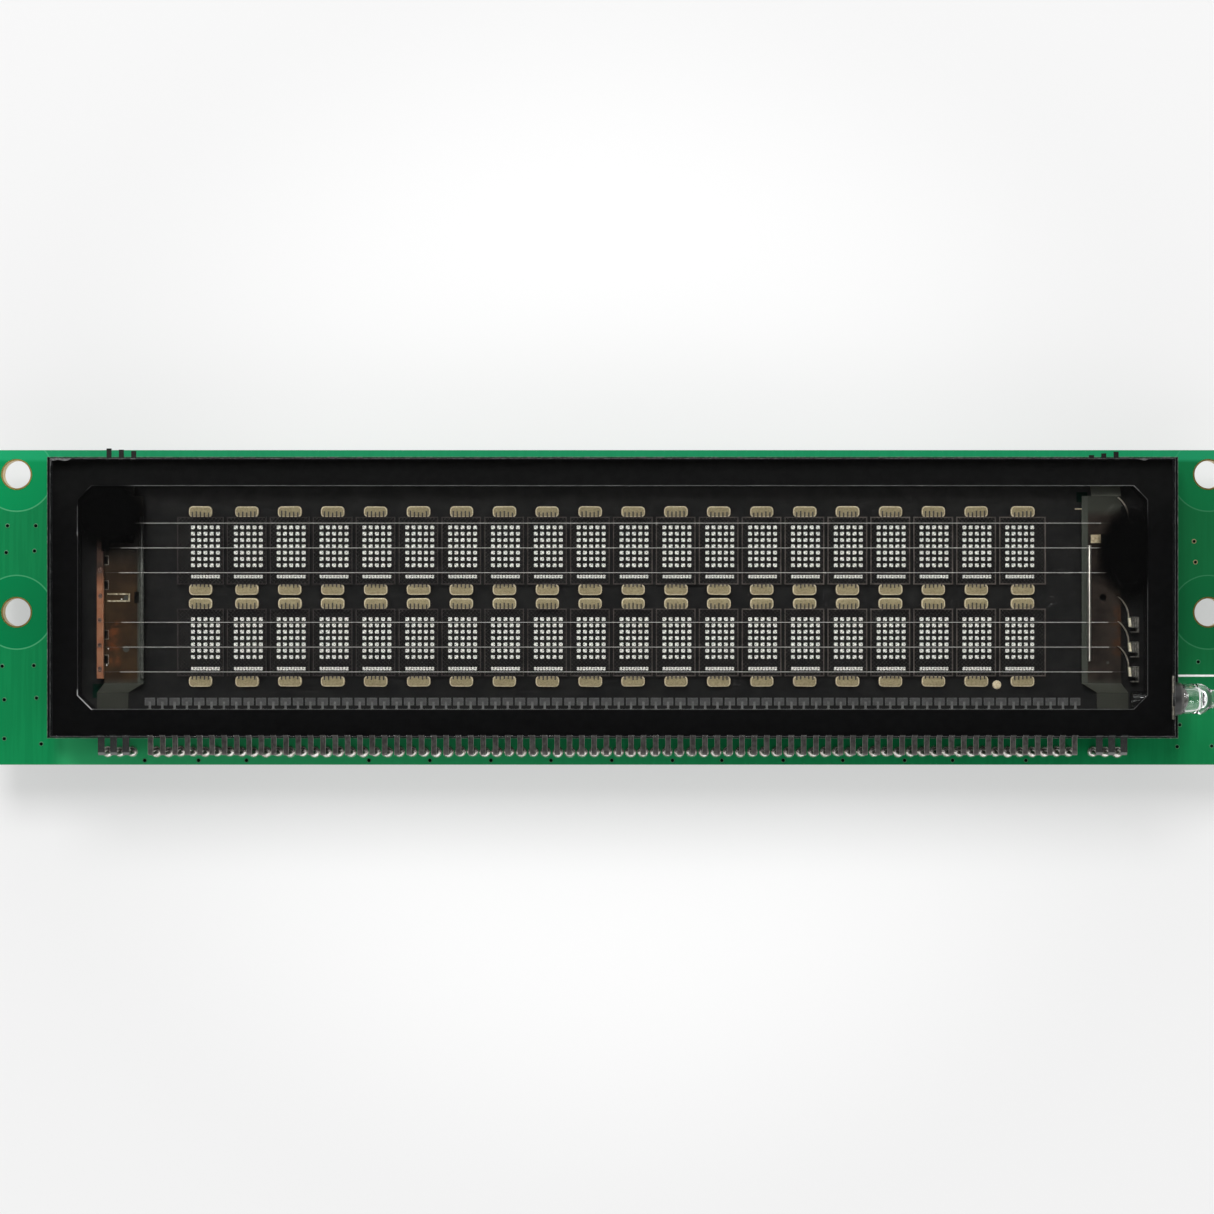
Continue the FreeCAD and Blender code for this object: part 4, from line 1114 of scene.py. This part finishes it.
def makeWindowBead():
    top = faceLow.z - 0.02
    bm = bmesh.new()
    section = ((0, top - beadSet["drop"]), (0, top), (beadSet["width"], top),
               (beadSet["width"], top - beadSet["drop"]))
    loops = [[bm.verts.new((x, y, z)) for x, y in windowOutline(inset)] for inset, z in section]
    for first, second in zip(loops, loops[1:] + loops[:1]):
        for i in range(len(first)):
            j = (i + 1) % len(first)
            bm.faces.new((first[i], first[j], second[j], second[i]))
    bmesh.ops.recalc_face_normals(bm, faces=bm.faces)
    addPiece("seal_bead", bm, [beadHighlightFinish()], smooth=40)


# Getter mirrors: black films with soft edges on the face glass's inner side
mirrorSet = {
    "left": {"x": -60.8, "y": 3.7, "halfX": 5.0, "halfY": 4.9},
    "right": {"x": 62.4, "y": -1.2, "halfX": 4.5, "halfY": 6.2},
}


def makeMirror(side, values):
    limit = wallHigh.x - 0.3
    z = faceLow.z - 0.04
    points = []
    for i in range(40):
        angle = i * math.pi / 20
        x = values["x"] + values["halfX"] * math.cos(angle)
        points.append((min(max(x, -limit), limit), values["y"] + values["halfY"] * math.sin(angle)))
    bm = plate(points, z, z + 0.02)
    finish = newFinish(side + "Mirror", (0.001, 0.001, 0.001), 0.5, sockets={"Specular IOR Level": 0.0})
    tree = finish.node_tree
    x, y = axes(tree)[:2]
    away = distance(tree, calc(tree, "DIVIDE", calc(tree, "SUBTRACT", x, values["x"]), values["halfX"]),
                    calc(tree, "DIVIDE", calc(tree, "SUBTRACT", y, values["y"]), values["halfY"]))
    rough = calc(tree, "MULTIPLY_ADD", noise(tree, 2.5, 2), 0.3, away)
    feed(finish, "Alpha", ramp(tree, rough, 0.68, 1.14, 0.97, 0.0))
    addPiece("getter_mirror_" + side, bm, [finish], smooth=0)


# Exhaust tube: blown glass with a round shoulder and a drawn tail, in a mound of frit
tubeSet = {"steps": 40, "neck": 0.95, "bulb": 1.85, "bulbEnd": 71.15, "waist": 1.1, "waistX": 72.85,
           "tail": 0.3, "cavity": 1.42, "domeEnd": 69.75}


def makeExhaust():
    low, high = boxOf("exhaust_tube")
    y, z = (low.y + high.y) / 2, (low.z + high.z) / 2
    bulb, neck, waist = tubeSet["bulb"], tubeSet["neck"], tubeSet["waist"]
    bend, waistX = tubeSet["bulbEnd"], tubeSet["waistX"]
    outer = [(low.x, neck), (67.9, neck), (68.3, bulb * 0.75), (68.75, bulb * 0.97),
             (69.1, bulb), (bend, bulb)]
    for i in range(1, 7):
        t = i / 7
        ease = t * t * (3 - 2 * t)
        outer.append((bend + (waistX - bend) * t, bulb + (waist - bulb) * ease))
    outer += [(waistX, waist), (74.0, waist * 0.88), (74.65, waist * 0.6),
              (high.x - 0.05, tubeSet["tail"]), (high.x, 0)]
    cavity = tubeSet["cavity"]
    end = 71.75
    inner = [(end, 0), (end - 0.06, 0.4), (end - 0.25, 0.8), (end - 0.6, 1.15), (end - 1.05, cavity),
             (69.3, cavity), (68.9, cavity * 0.9), (68.5, neck - 0.42), (low.x, neck - 0.42), (low.x, neck)]
    bm = lathe([(x, y + r, z) for x, r in outer], (0, y, z), (1, 0, 0), tubeSet["steps"])
    core = lathe([(x, y + r, z) for x, r in inner], (0, y, z), (1, 0, 0), tubeSet["steps"])
    stamp(bm, asTile(core))
    bmesh.ops.remove_doubles(bm, verts=bm.verts, dist=1e-3)
    bmesh.ops.recalc_face_normals(bm, faces=bm.faces)
    addPiece("exhaust_glass", bm, [clearGlass], ["exhaust_tube"], smooth=60)


def makeCollar():
    low, high = boxOf("exhaust_collar")
    tube = boxOf("exhaust_tube")
    y, z = (tube[0].y + tube[1].y) / 2, (tube[0].z + tube[1].z) / 2
    r = (high.y - low.y) / 2
    inner = tubeSet["neck"]
    points = [(low.x, inner), (low.x, r), (high.x - 0.75, r), (high.x - 0.35, r * 0.95),
              (high.x - 0.1, r * 0.91), (high.x - 0.12, r * 0.89), (68.2, 1.3), (67.9, inner)]
    bm = lathe([(px, y + pr, z) for px, pr in points], (0, y, z), (1, 0, 0), 32)
    for vert in bm.verts:
        vert.co.z = min(max(vert.co.z, low.z), high.z)
    dome = lathe([(68.55, y, z), (68.6, y + 1.1, z), (68.95, y + 1.34, z), (69.3, y + 1.2, z),
                  (69.6, y + 0.75, z),
                  (tubeSet["domeEnd"], y + 0.3, z), (tubeSet["domeEnd"] + 0.02, y, z)], (0, y, z),
                  (1, 0, 0), 24)
    stamp(bm, asTile(dome))
    squeeze = softBlock(wallHigh.x - 0.05, faceHigh.x + 0.1, y - 2.4, y + 2.85, glassHigh.z + 0.02,
                        faceLow.z + 0.3, 0.04, 0.03)
    for face in squeeze.faces:
        face.material_index = 1
    stamp(bm, asTile(squeeze))
    tan = flecked("squeezedFrit", (0.16, 0.15, 0.12), 0.45, 0.0, (0.2, 0.185, 0.15), (0.1, 0.09, 0.07), 0.4)
    addPiece("collar_mound", bm, [collarFrit, tan], ["exhaust_collar"], smooth=50)


makeFaceGlass()
makeSubstrate()
makeWindowBead()
for side, values in mirrorSet.items():
    makeMirror(side, values)
makeExhaust()
makeCollar()
print("envelope made")

# Board marks: plated holes, plated-through vias and the printed line
holeSet = {"inner": 1.72, "wall": 1.755, "rim": 1.9, "rise": 0.03}
viaSet = {
    "ring": 0.29, "hole": 0.2, "rise": 0.02, "rowY": -26.77,
    "places": ((-74.63, 2.17), (-71.14, 2.17), (-74.78, -1.13), (-71.30, -0.94), (-75.28, -15.14),
               (-71.38, -15.07),
               (-75.02, -19.28), (-71.06, -19.07), (-75.02, -24.09), (-70.47, -24.74), (71.73, 0.25),
               (71.90, -2.31), (72.24, -14.62), (69.98, -22.38), (69.65, -25.08), (73.90, -25.0)),
    "row": (-57.70, -51.06, -45.15, -30.05, -22.53, -15.01, -7.59, -0.10, 7.39, 13.48, 21.05,
            28.40, 36.03, 41.94, 50.98),
}
lineSet = {"y": -16.32, "width": 0.25, "rise": 0.03}


def makePlatedHoles():
    rise = holeSet["rise"]
    a, b, c = holeSet["inner"], holeSet["wall"], holeSet["rim"]
    top, low = zBoard + rise, boardLow.z - rise
    points = [(a, 0, low), (a, 0, top), (c, 0, top), (c, 0, zBoard), (b, 0, zBoard), (b, 0, 0),
              (c, 0, 0), (c, 0, low), (a, 0, low)]
    sleeve = asTile(turned(points, 48))
    bm = bmesh.new()
    for sx in (-1, 1):
        for sy in (-1, 1):
            stamp(bm, sleeve, sx * boardSet["holeX"], sy * boardSet["holeY"])
    addPiece("plated_holes", bm, [gold], smooth=40)


def makeVias():
    rise, hole, ring = viaSet["rise"], viaSet["hole"], viaSet["ring"]
    eye = turned([(hole, 0, zBoard), (hole, 0, zBoard + rise), (ring, 0, zBoard + rise * 0.4),
                  (ring, 0, zBoard)], 14)
    pit = turned([(0, 0, zBoard + rise * 0.5), (hole, 0, zBoard + rise * 0.5)], 14)
    for face in pit.faces:
        face.material_index = 1
    stamp(eye, asTile(pit))
    tile = asTile(eye)
    bm = bmesh.new()
    for x, y in list(viaSet["places"]) + [(x, viaSet["rowY"]) for x in viaSet["row"]]:
        stamp(bm, tile, x, y)
        stamp(bm, tile, x, y, zBoard, turn=math.pi, axis="X")
    dark = newFinish("viaHole", (0.002, 0.004, 0.003), 0.8, sockets={"Specular IOR Level": 0.0})
    rim = newFinish("viaRing", (0.12, 0.12, 0.03), 0.4, 0.2)
    tree = rim.node_tree
    x, y = axes(tree)[:2]
    pale = flecks(tree, 0.3, (0.02, 0.14, 0.06), (0.05, 0.2, 0.09))
    shaded = product(tree, ramp(tree, x, 60, 61), ramp(tree, y, -6, -5))
    feed(rim, "Base Color", blend(tree, shaded, pale, (0.24, 0.2, 0.1)))
    addPiece("vias", bm, [rim, dark], smooth=40)


def makePrintedLine():
    bm = bmesh.new()
    half = lineSet["width"] / 2
    addBlock(bm, glassHigh.x, boardHigh.x - 0.02, lineSet["y"] - half, lineSet["y"] + half, zBoard,
             zBoard + lineSet["rise"])
    addPiece("printed_line", bm, [silk], smooth=0)


# Gaps in the black layer beside the plates, where the board's green shows faintly
gapSet = {"rise": 0.015, "boxes": ((-63.2, -61.3, -18.9, -17.2), (56.4, 57.7, 4.9, 6.1)),
          "line": (56.2, 57.3, 4.02, 4.12)}
slotSet = {"places": (-2.2, -5.2, -11.2, -14.2), "x": -61.6, "reach": 0.48, "half": 0.5,
           "wide": 0.07, "rise": 0.03}


def makeGaps():
    bm = bmesh.new()
    for box in gapSet["boxes"]:
        addBlock(bm, *box, zLeads, zLeads + gapSet["rise"])
    green = flecked("layerGap", (0.001, 0.008, 0.005), 0.5, 0.0, (0.0008, 0.0105, 0.006),
                    (0.001, 0.006, 0.004), 0.5, {"Specular IOR Level": 0.0})
    addPiece("layer_gaps", bm, [green], smooth=0)
    line = bmesh.new()
    addBlock(line, *gapSet["line"], zLeads, zLeads + gapSet["rise"])
    addPiece("layer_mark", line, [padRim], smooth=0)


def makeSlotRims():  # raised burrs round the left plate's small slots, painted pale as a highlight along their edges
    z = boxOf("left_anchor_plate")[1].z
    x0, x1 = slotSet["x"], slotSet["x"] + slotSet["reach"]
    wide, half = slotSet["wide"], slotSet["half"]
    bm = bmesh.new()
    for y in slotSet["places"]:
        addBlock(bm, x0, x1 + wide, y + half, y + half + wide, z, z + slotSet["rise"])
        addBlock(bm, x0, x1 + wide, y - half - wide, y - half, z, z + slotSet["rise"])
        addBlock(bm, x1, x1 + wide, y - half, y + half, z, z + slotSet["rise"])
    # painted highlight on the slots' edges
    rimHighlight = flecked("slotRimHighlight", (0.1, 0.09, 0.07), 0.4, 0.3, (0.14, 0.125, 0.1), (0.03, 0.027, 0.02), 0.3)
    addPiece("slot_rim_highlights", bm, [rimHighlight], smooth=0)


makePlatedHoles()
makeVias()
makePrintedLine()
makeGaps()
makeSlotRims()
print("board marked")

# Back of the board: parts with rounded mouldings, bent pins, solder and the traces between them
def paint(bm, index):
    for face in bm.faces:
        face.material_index = index
    return bm


def fit(bm, part, x=0.0, y=0.0, z=0.0, turn=0.0, index=0):
    stamp(bm, asTile(paint(part, index)), x, y, z, turn)


def landing(x0, x1, half, depth, rim):  # a flat pad or terminal against the board's back
    return softBlock(x0, x1, -half, half, -depth, 0, 0, rim, 1, 1, True)


def gullPin(width, reach, height, thick=0.15):  # leaves the body level, bends down and lies flat on its pad
    knee = reach * 0.28
    ankle = reach * 0.5
    outline = [(-0.1, -height), (knee, -height), (ankle, -thick), (reach, -thick), (reach, 0),
               (ankle - 0.12, 0), (knee - 0.1, -height + thick), (-0.1, -height + thick)]
    return prism(outline, width / 2)


chipSet = {
    "driver_circuits": {"centres": ((-12, -7), (12, -7)), "body": 14.0, "height": 2.3, "pins": 20,
                        "pitch": 0.65,
                        "width": 0.3, "reach": 1.55},
    "controller_circuit": {"centres": ((-36, -7),), "body": 10.0, "height": 2.0, "pins": 11, "pitch": 0.8,
                           "width": 0.36, "reach": 1.5},
}


def makeChips(node, values):
    half = values["body"] / 2
    body = softBlock(-half, half, -half, half, -values["height"], -0.12, 0.3, 0.14, 1, 2, True)
    for vert in body.verts:
        slope = 0.012 * abs(vert.co.z + values["height"] / 2) / values["height"]
        vert.co.x *= 1 - slope
        vert.co.y *= 1 - slope
    mark = turned([(0, 0, 0), (0.55, 0, 0), (0.55, 0, -0.015), (0, 0, -0.015)], 20)
    bmesh.ops.translate(mark, vec=(-half + 1.5, half - 1.5, -values["height"]), verts=mark.verts)
    stamp(body, asTile(paint(mark, 1)))
    bodyTile = asTile(body)
    pinTile = asTile(gullPin(values["width"], values["reach"], values["height"] / 2))
    padTile = asTile(landing(values["reach"] * 0.4, values["reach"] + 0.25,
                             values["width"] * 0.62, 0.05, 0.03))
    bodies = bmesh.new()
    pins = bmesh.new()
    pads = bmesh.new()
    for x, y in values["centres"]:
        stamp(bodies, bodyTile, x, y)
        for side in range(4):
            turn = side * math.pi / 2
            for i in range(values["pins"]):
                along = (i - (values["pins"] - 1) / 2) * values["pitch"]
                px = x + half * math.cos(turn) - along * math.sin(turn)
                py = y + half * math.sin(turn) + along * math.cos(turn)
                stamp(pins, pinTile, px, py, turn=turn)
                stamp(pads, padTile, px, py, turn=turn)
    glossMark = newFinish(node + "Mark", (0.014, 0.014, 0.015), 0.15)
    addPiece(node + "_mould", bodies, [blackPlastic, glossMark], [node])
    addPiece(node + "_pins", pins, [tinned])
    addPiece(node + "_pads", pads, [solder])


headerSet = {"rows": 5, "pinHalf": 0.32, "tip": 0.18, "corner": 0.32, "rim": 0.1}


def makeHeader():
    low, high = boxOf("header_housing")
    rows, half, corner, rim = headerSet["rows"], headerSet["pinHalf"], headerSet["corner"], headerSet["rim"]
    step = (high.y - low.y) / rows
    x = (low.x + high.x) / 2
    bm = bmesh.new()
    for i in range(rows):
        y = low.y + (i + 0.5) * step
        fit(bm, softBlock(low.x - x, high.x - x, -step / 2, step / 2, low.z, high.z, corner, rim, 1,
                          1, True), x, y)
    addPiece("header_strip", bm, [housingPlastic], ["header_housing"])
    pinLow, pinHigh = boxOf("header_pins")
    pins = bmesh.new()
    joints = bmesh.new()
    for i in range(rows):
        for px in (pinLow.x + half, pinHigh.x - half):
            y = pinLow.y + half + i * step
            pin = softBlock(-half, half, -half, half, pinLow.z, pinHigh.z)
            bevelEdges(pin, levelEdges(pin, pinLow.z) + levelEdges(pin, pinHigh.z), headerSet["tip"], 1)
            fit(pins, pin, px, y)
            cone = turned([(0.34, 0, 1.1), (0.42, 0, 0.6), (0.6, 0, 0.25), (0.85, 0, 0.04), (0.85, 0, 0)], 14)
            fit(joints, cone, px, y, zBoard)
    addPiece("header_pin_rows", pins, [gold], ["header_pins"])
    addPiece("header_joints", joints, [solder], smooth=60)


canSet = {"centres": ((57.5, 1.5), (57.5, -16.5)), "radius": 3.15, "base": 3.3, "low": -8.2, "high": -0.9}


def makeCans():
    r, low, high = canSet["radius"], canSet["low"], canSet["high"]
    points = [(0, 0, low + 0.12), (r * 0.72, 0, low + 0.12), (r * 0.78, 0, low), (r * 0.93, 0, low),
              (r * 0.98, 0, low + 0.08), (r, 0, low + 0.3), (r, 0, high - 1.7), (r * 0.94, 0, high - 1.5),
              (r * 0.94, 0, high - 1.25), (r, 0, high - 1.05), (r, 0, high - 0.2),
              (r * 0.96, 0, high), (0, 0, high)]
    can = turned(points, 48)
    angles = [math.pi * (0.5 + (i + 1) / 17) for i in range(16)]
    top = r * 0.7
    segment = [(top * math.cos(a), top * math.sin(a)) for a in angles if math.cos(a) < -0.3]
    stamp(can, asTile(paint(plate(segment, low + 0.105, low + 0.125), 1)))
    for turn in range(3):
        score = bmesh.new()
        addBlock(score, 0, top, -0.05, 0.05, low + 0.11, low + 0.13)
        fit(can, score, turn=turn * math.pi * 2 / 3 + 0.5, index=2)
    half = canSet["base"]
    base = plate([(-half, -half), (half - 0.9, -half), (half, -half + 0.9), (half, half - 0.9),
                  (half - 0.9, half), (-half, half)], high, 0)
    bevelEdges(base, levelEdges(base, high), 0.15, 1)
    foot = asTile(softBlock(half - 0.3, half + 0.55, -0.5, 0.5, -0.25, 0, 0.05, 0.05, 1, 1, True))
    cans, bases = strew(asTile(can), canSet["centres"]), strew(asTile(base), canSet["centres"])
    feet = bmesh.new()
    for x, y in canSet["centres"]:
        stamp(feet, foot, x, y)
        stamp(feet, foot, x, y, turn=math.pi)
    blackPrint = newFinish("canPrint", (0.012, 0.012, 0.013), 0.4)
    groove = newFinish("canScore", (0.3, 0.3, 0.3), 0.4, 1.0)
    addPiece("can_bodies", cans, [canMetal, blackPrint, groove],
             ["capacitor_cans"], smooth=35)
    addPiece("can_bases", bases, [housingPlastic], ["capacitor_bases"])
    addPiece("can_feet", feet, [tinned])


def makeTransformer():
    low, high = boxOf("transformer_core")
    middle = (low.y + high.y) / 2
    core = bmesh.new()
    fit(core, softBlock(low.x, high.x, low.y, middle - 0.03, low.z, high.z, 0.35, 0.25, 2, 2, True))
    fit(core, softBlock(low.x, high.x, middle + 0.03, high.y, low.z, high.z, 0.35, 0.25, 2, 2, True))
    addPiece("core_halves", core, [ferrite], ["transformer_core"])
    low, high = boxOf("transformer_winding")
    coil = softBlock(low.x, high.x, low.y, high.y, low.z + 0.04, high.z, 1.4, 0.3, 5, 3, True)
    fit(coil, softBlock(low.x + 3.0, low.x + 5.4, low.y + 0.35, high.y - 0.35, low.z, low.z + 0.2), index=1)
    tapeEnd = flecked("tapeEnd", (0.5, 0.32, 0.04), 0.25, 0.0, (0.5, 0.32, 0.04), (0.42, 0.26, 0.03), 0.8)
    addPiece("taped_coil", coil, [windingTape, tapeEnd], ["transformer_winding"])
    low, high = boxOf("transformer_base")
    base = softBlock(low.x, high.x, low.y, high.y, low.z, high.z, 0.4, 0.1, 2, 1, True)
    addPiece("bobbin_foot", base, [housingPlastic], ["transformer_base"])
    pins = bmesh.new()
    for i in range(5):
        x = (low.x + high.x) / 2 + (i - 2) * 2.5
        for y, turn in ((high.y, math.pi / 2), (low.y, -math.pi / 2)):
            fit(pins, gullPin(0.6, 1.1, 0.5, 0.22), x, y, turn=turn)
            fit(pins, landing(0.5, 1.35, 0.45, 0.05, 0.03), x, y, turn=turn, index=1)
    addPiece("bobbin_pins", pins, [tinned, solder])


def makeInductor():
    low, high = boxOf("inductor")
    x, y = (low.x + high.x) / 2, (low.y + high.y) / 2
    half = (high.x - low.x) / 2
    bm = softBlock(-half, half, -half, half, low.z, high.z, 0.7, 0.4, 3, 3, True)
    for turn in (0, math.pi):
        fit(bm, landing(half - 0.25, half + 0.06, 1.2, 2.2, 0.05), turn=turn, index=1)
        fit(bm, landing(half - 0.4, half + 0.7, 1.3, 0.08, 0.05), turn=turn, index=2)
    bmesh.ops.translate(bm, vec=(x, y, 0), verts=bm.verts)
    addPiece("inductor_block", bm, [ferrite, tinned, solder], ["inductor"])


def makeTransistor():
    low, high = boxOf("transistor_body")
    x = (low.x + high.x) / 2
    body = softBlock(low.x, high.x, low.y, high.y, low.z, high.z, 0.15, 0.35, 1, 2, True)
    addPiece("transistor_mould", body, [blackPlastic], ["transistor_body"])
    legs = bmesh.new()
    for side in (-2.28, 2.28):
        fit(legs, gullPin(0.8, 2.6, 1.1, 0.4), x + side, low.y, turn=-math.pi / 2)
        fit(legs, landing(1.3, 3.0, 0.6, 0.06, 0.04), x + side, low.y, turn=-math.pi / 2, index=1)
    fit(legs, softBlock(0, 0.7, -0.4, 0.4, -1.1, -0.7), x, low.y, turn=-math.pi / 2)
    addPiece("transistor_legs", legs, [tinned, solder])


smallSet = {
    "rectifier_diodes": {"centres": ((40.5, 3.5), (47, 3.5)), "size": (4.3, 2.6, 2.2), "cap": 0.3,
                         "capWide": 1.5,
                         "corner": 0.15, "rim": 0.25, "finish": blackPlastic, "slot": "package_plastic"},
    "resonator": {"centres": ((-46, 3.5),), "size": (7.4, 3.4, 1.8), "cap": 0.3, "capWide": 2.0,
                  "corner": 0.2,
                  "rim": 0.15, "finish": resonatorCase, "slot": "resonator_case"},
    "chip_capacitors": {"centres": ((-26, 1), (0, 3.5), (0, -17.5)), "size": (2, 1.25, 0.9), "cap": 0.4,
                        "capWide": 1.25, "corner": 0.04, "rim": 0.05, "finish": chipCeramic,
                        "slot": "chip_ceramic"},
    "chip_resistors": {"centres": ((-40, -19), (-36, -19), (-32, -19)), "size": (2, 1.25, 0.5), "cap": 0.36,
                       "capWide": 1.25, "corner": 0.03, "rim": 0.03, "finish": resistorTop,
                       "slot": "chip_resistor"},
}


def makeSmallParts(node, values):  # a moulded body between two tinned ends, on solder fillets
    length, width, height = values["size"]
    cap, wide = values["cap"], values["capWide"] / 2
    inner = length / 2 - cap if values["capWide"] == width else length / 2
    part = softBlock(-inner, inner, -width / 2, width / 2, -height, -0.02, values["corner"],
                     values["rim"], 2, 2, True)
    for turn in (0, math.pi):
        if inner < length / 2:
            fit(part, landing(inner, length / 2, wide, height, 0.04), turn=turn, index=1)
        else:
            fit(part, landing(inner - cap, inner + 0.18, wide, height * 0.5, 0.05), turn=turn, index=1)
        fillet = [(length / 2 - 0.05, 0), (length / 2 + 0.65, 0), (length / 2 + 0.6, -0.05),
                  (length / 2 + 0.25, -0.16), (length / 2 + 0.05, -min(0.5, height * 0.5))]
        fit(part, prism(fillet, wide * 1.1), turn=turn, index=2)
    if node == "rectifier_diodes":
        fit(part, softBlock(-inner + 0.5, -inner + 0.95, -width / 2 + 0.26, width / 2 - 0.26, -height - 0.012,
                            -height + 0.05), index=3)
    bm = strew(asTile(part), values["centres"])
    addPiece(node + "_bodies", bm, [values["finish"], tinned, solder, silk], [node])


def addTrace(bm, points, width, z0, z1):
    for index, ((x0, y0), (x1, y1)) in enumerate(zip(points, points[1:])):
        length = math.hypot(x1 - x0, y1 - y0) + width * 0.5
        z0 += 0.003 if index % 2 else -0.003
        place = Matrix.LocRotScale(Vector(((x0 + x1) / 2, (y0 + y1) / 2, (z0 + z1) / 2)),
                                   Matrix.Rotation(math.atan2(y1 - y0, x1 - x0), 3, "Z"),
                                   Vector((length, width, z1 - z0)))
        bmesh.ops.create_cube(bm, size=1, matrix=place)


traceSet = {"width": 0.26, "rise": 0.022, "start": 0.5, "fanFrom": -24.2, "fanTo": -16.6, "powerWidth": 1.1,
            "eye": 0.3, "pit": 0.16, "dive": 1.2, "diveStep": 1.1, "escape": 0.6,
            "escapeStep": 0.75, "exit": 0.7,
            "exitStep": 0.9, "bend": 2.2, "bendStep": 1.1, "power": (
                ((43, 3.5), (44.5, 3.5)), ((49.4, 3.5), (52.5, 3.5), (54.4, 1.6)),
                ((38.2, 3.5), (33.5, 2.0), (31.0, 2.0)),
                ((54.2, -16.5), (50.2, -16.5), (48.2, -14.5)), ((31.2, -16.5), (34.3, -16.5)),
                ((28, 7), (28, 9.3), (-46, 9.3), (-51, 4.3)), ((57.5, 5.2), (57.5, 9.3), (31, 9.3)))}


def makeTraces():
    rise, width = traceSet["rise"], traceSet["width"]
    pit, edge = traceSet["pit"], traceSet["eye"]
    ring = turned([(pit, 0, 0), (pit, 0, -0.04), (edge, 0, -0.035), (edge, 0, 0)], 14)
    fit(ring, turned([(0, 0, -0.03), (pit, 0, -0.03)], 14), index=1)
    eye = asTile(ring)
    bm = bmesh.new()
    eyes = bmesh.new()
    start = legY + traceSet["start"]
    chips = chipSet["driver_circuits"]
    reach = chips["body"] / 2 + chips["reach"]
    for side, (cx, cy) in zip((-1, 1), chips["centres"]):
        own = sorted((x for x in mainXs if x * side > 0), key=abs)
        count = chips["pins"]
        places = [(i - (count - 1) / 2) * chips["pitch"] for i in range(count)]
        for x, along in zip(sorted(own[:count]), places):  # the nearest leads fan in to the driver
            run = [(x, start), (x, traceSet["fanFrom"]), (cx + along, traceSet["fanTo"]),
                   (cx + along, cy - reach)]
            addTrace(bm, run, width, -rise, 0)
        for i, x in enumerate(own[count:]):  # the others dive to the board's inner layer
            y = start + traceSet["dive"] + traceSet["diveStep"] * (i % 3)
            addTrace(bm, [(x, start), (x, y)], width, -rise, 0)
            stamp(eyes, eye, x, y)
        for i, along in enumerate(places):
            for way in (-1, 1):
                x = cx + way * (reach + traceSet["escape"] + traceSet["escapeStep"] * (i % 3))
                addTrace(bm, [(cx + way * reach, cy + along), (x, cy + along)], width, -rise, 0)
                stamp(eyes, eye, x, cy + along)
    chip = chipSet["controller_circuit"]
    cx, cy = chip["centres"][0]
    reach = chip["body"] / 2 + chip["reach"]
    for i in range(chip["pins"]):
        along = (i - (chip["pins"] - 1) / 2) * chip["pitch"]
        out = reach + traceSet["exit"] + traceSet["exitStep"] * (i % 2)
        x, y = cx + out, cy + out
        addTrace(bm, [(cx + reach, cy + along), (x, cy + along)], width, -rise, 0)
        addTrace(bm, [(cx + along, cy + reach), (cx + along, y)], width, -rise, 0)
        stamp(eyes, eye, x, cy + along)
        stamp(eyes, eye, cx + along, y)
    low, high = boxOf("header_pins")
    rows, half = headerSet["rows"], headerSet["pinHalf"]
    for i in range(rows):
        pinY = low.y + half + i * (high.y - low.y - 2 * half) / (rows - 1)
        y = cy + (i - 2) * 2 * chip["pitch"]
        turn = high.x + traceSet["bend"] + traceSet["bendStep"] * abs(i - 2)
        run = [(cx - reach, y), (turn + abs(pinY - y), y), (turn, pinY), (high.x - 0.3, pinY)]
        addTrace(bm, run, width * 1.3, -rise, 0)
    for run in traceSet["power"]:
        addTrace(bm, run, traceSet["powerWidth"], -rise, 0)
    trace = flecked("maskedTrace", (0.012, 0.27, 0.1), 0.22, 0.0, (0.014, 0.3, 0.11), (0.011, 0.26, 0.095),
                    1.5, {"Specular IOR Level": 0.4})
    addPiece("back_traces", bm, [trace], smooth=0)
    hollow = flecked("eyePit", (0.002, 0.006, 0.004), 0.7, 0.0, (0.002, 0.006, 0.004),
                     (0.003, 0.01, 0.006), 0.3)
    addPiece("back_vias", eyes, [trace, hollow], smooth=40)


def corners(x0, x1, y0, y1):  # a closed run round a box
    return [(x0, y0), (x1, y0), (x1, y1), (x0, y1), (x0, y0)]


outlineSet = {"width": 0.16, "rise": 0.04, "chips": 0.6, "ring": 4.1, "gaps": {
    "header_housing": (0.5, 0.5), "transformer_base": (0.9, 1.7), "inductor": (1.2, 0.5),
    "resonator": (0.5, 0.5)}}


def makeOutlines():  # printed outlines round the larger parts
    bm = bmesh.new()
    runs = []
    for node, (gapX, gapY) in outlineSet["gaps"].items():
        low, high = boxOf(node)
        runs.append(corners(low.x - gapX, high.x + gapX, low.y - gapY, high.y + gapY))
    for values in chipSet.values():
        half = values["body"] / 2 + values["reach"] + outlineSet["chips"]
        runs += [corners(x - half, x + half, y - half, y + half) for x, y in values["centres"]]
    ring = [(outlineSet["ring"] * math.cos(a * math.pi / 16), outlineSet["ring"] * math.sin(a * math.pi / 16))
            for a in range(33)]
    runs += [[(x + dx, y + dy) for dx, dy in ring] for x, y in canSet["centres"]]
    for run in runs:
        addTrace(bm, run, outlineSet["width"], -outlineSet["rise"], 0)
    addPiece("printed_outlines", bm, [silk], smooth=0)


for node, values in chipSet.items():
    makeChips(node, values)
makeHeader()
makeCans()
makeTransformer()
makeInductor()
makeTransistor()
for node, values in smallSet.items():
    makeSmallParts(node, values)
makeTraces()
makeOutlines()
print("back of the board made")
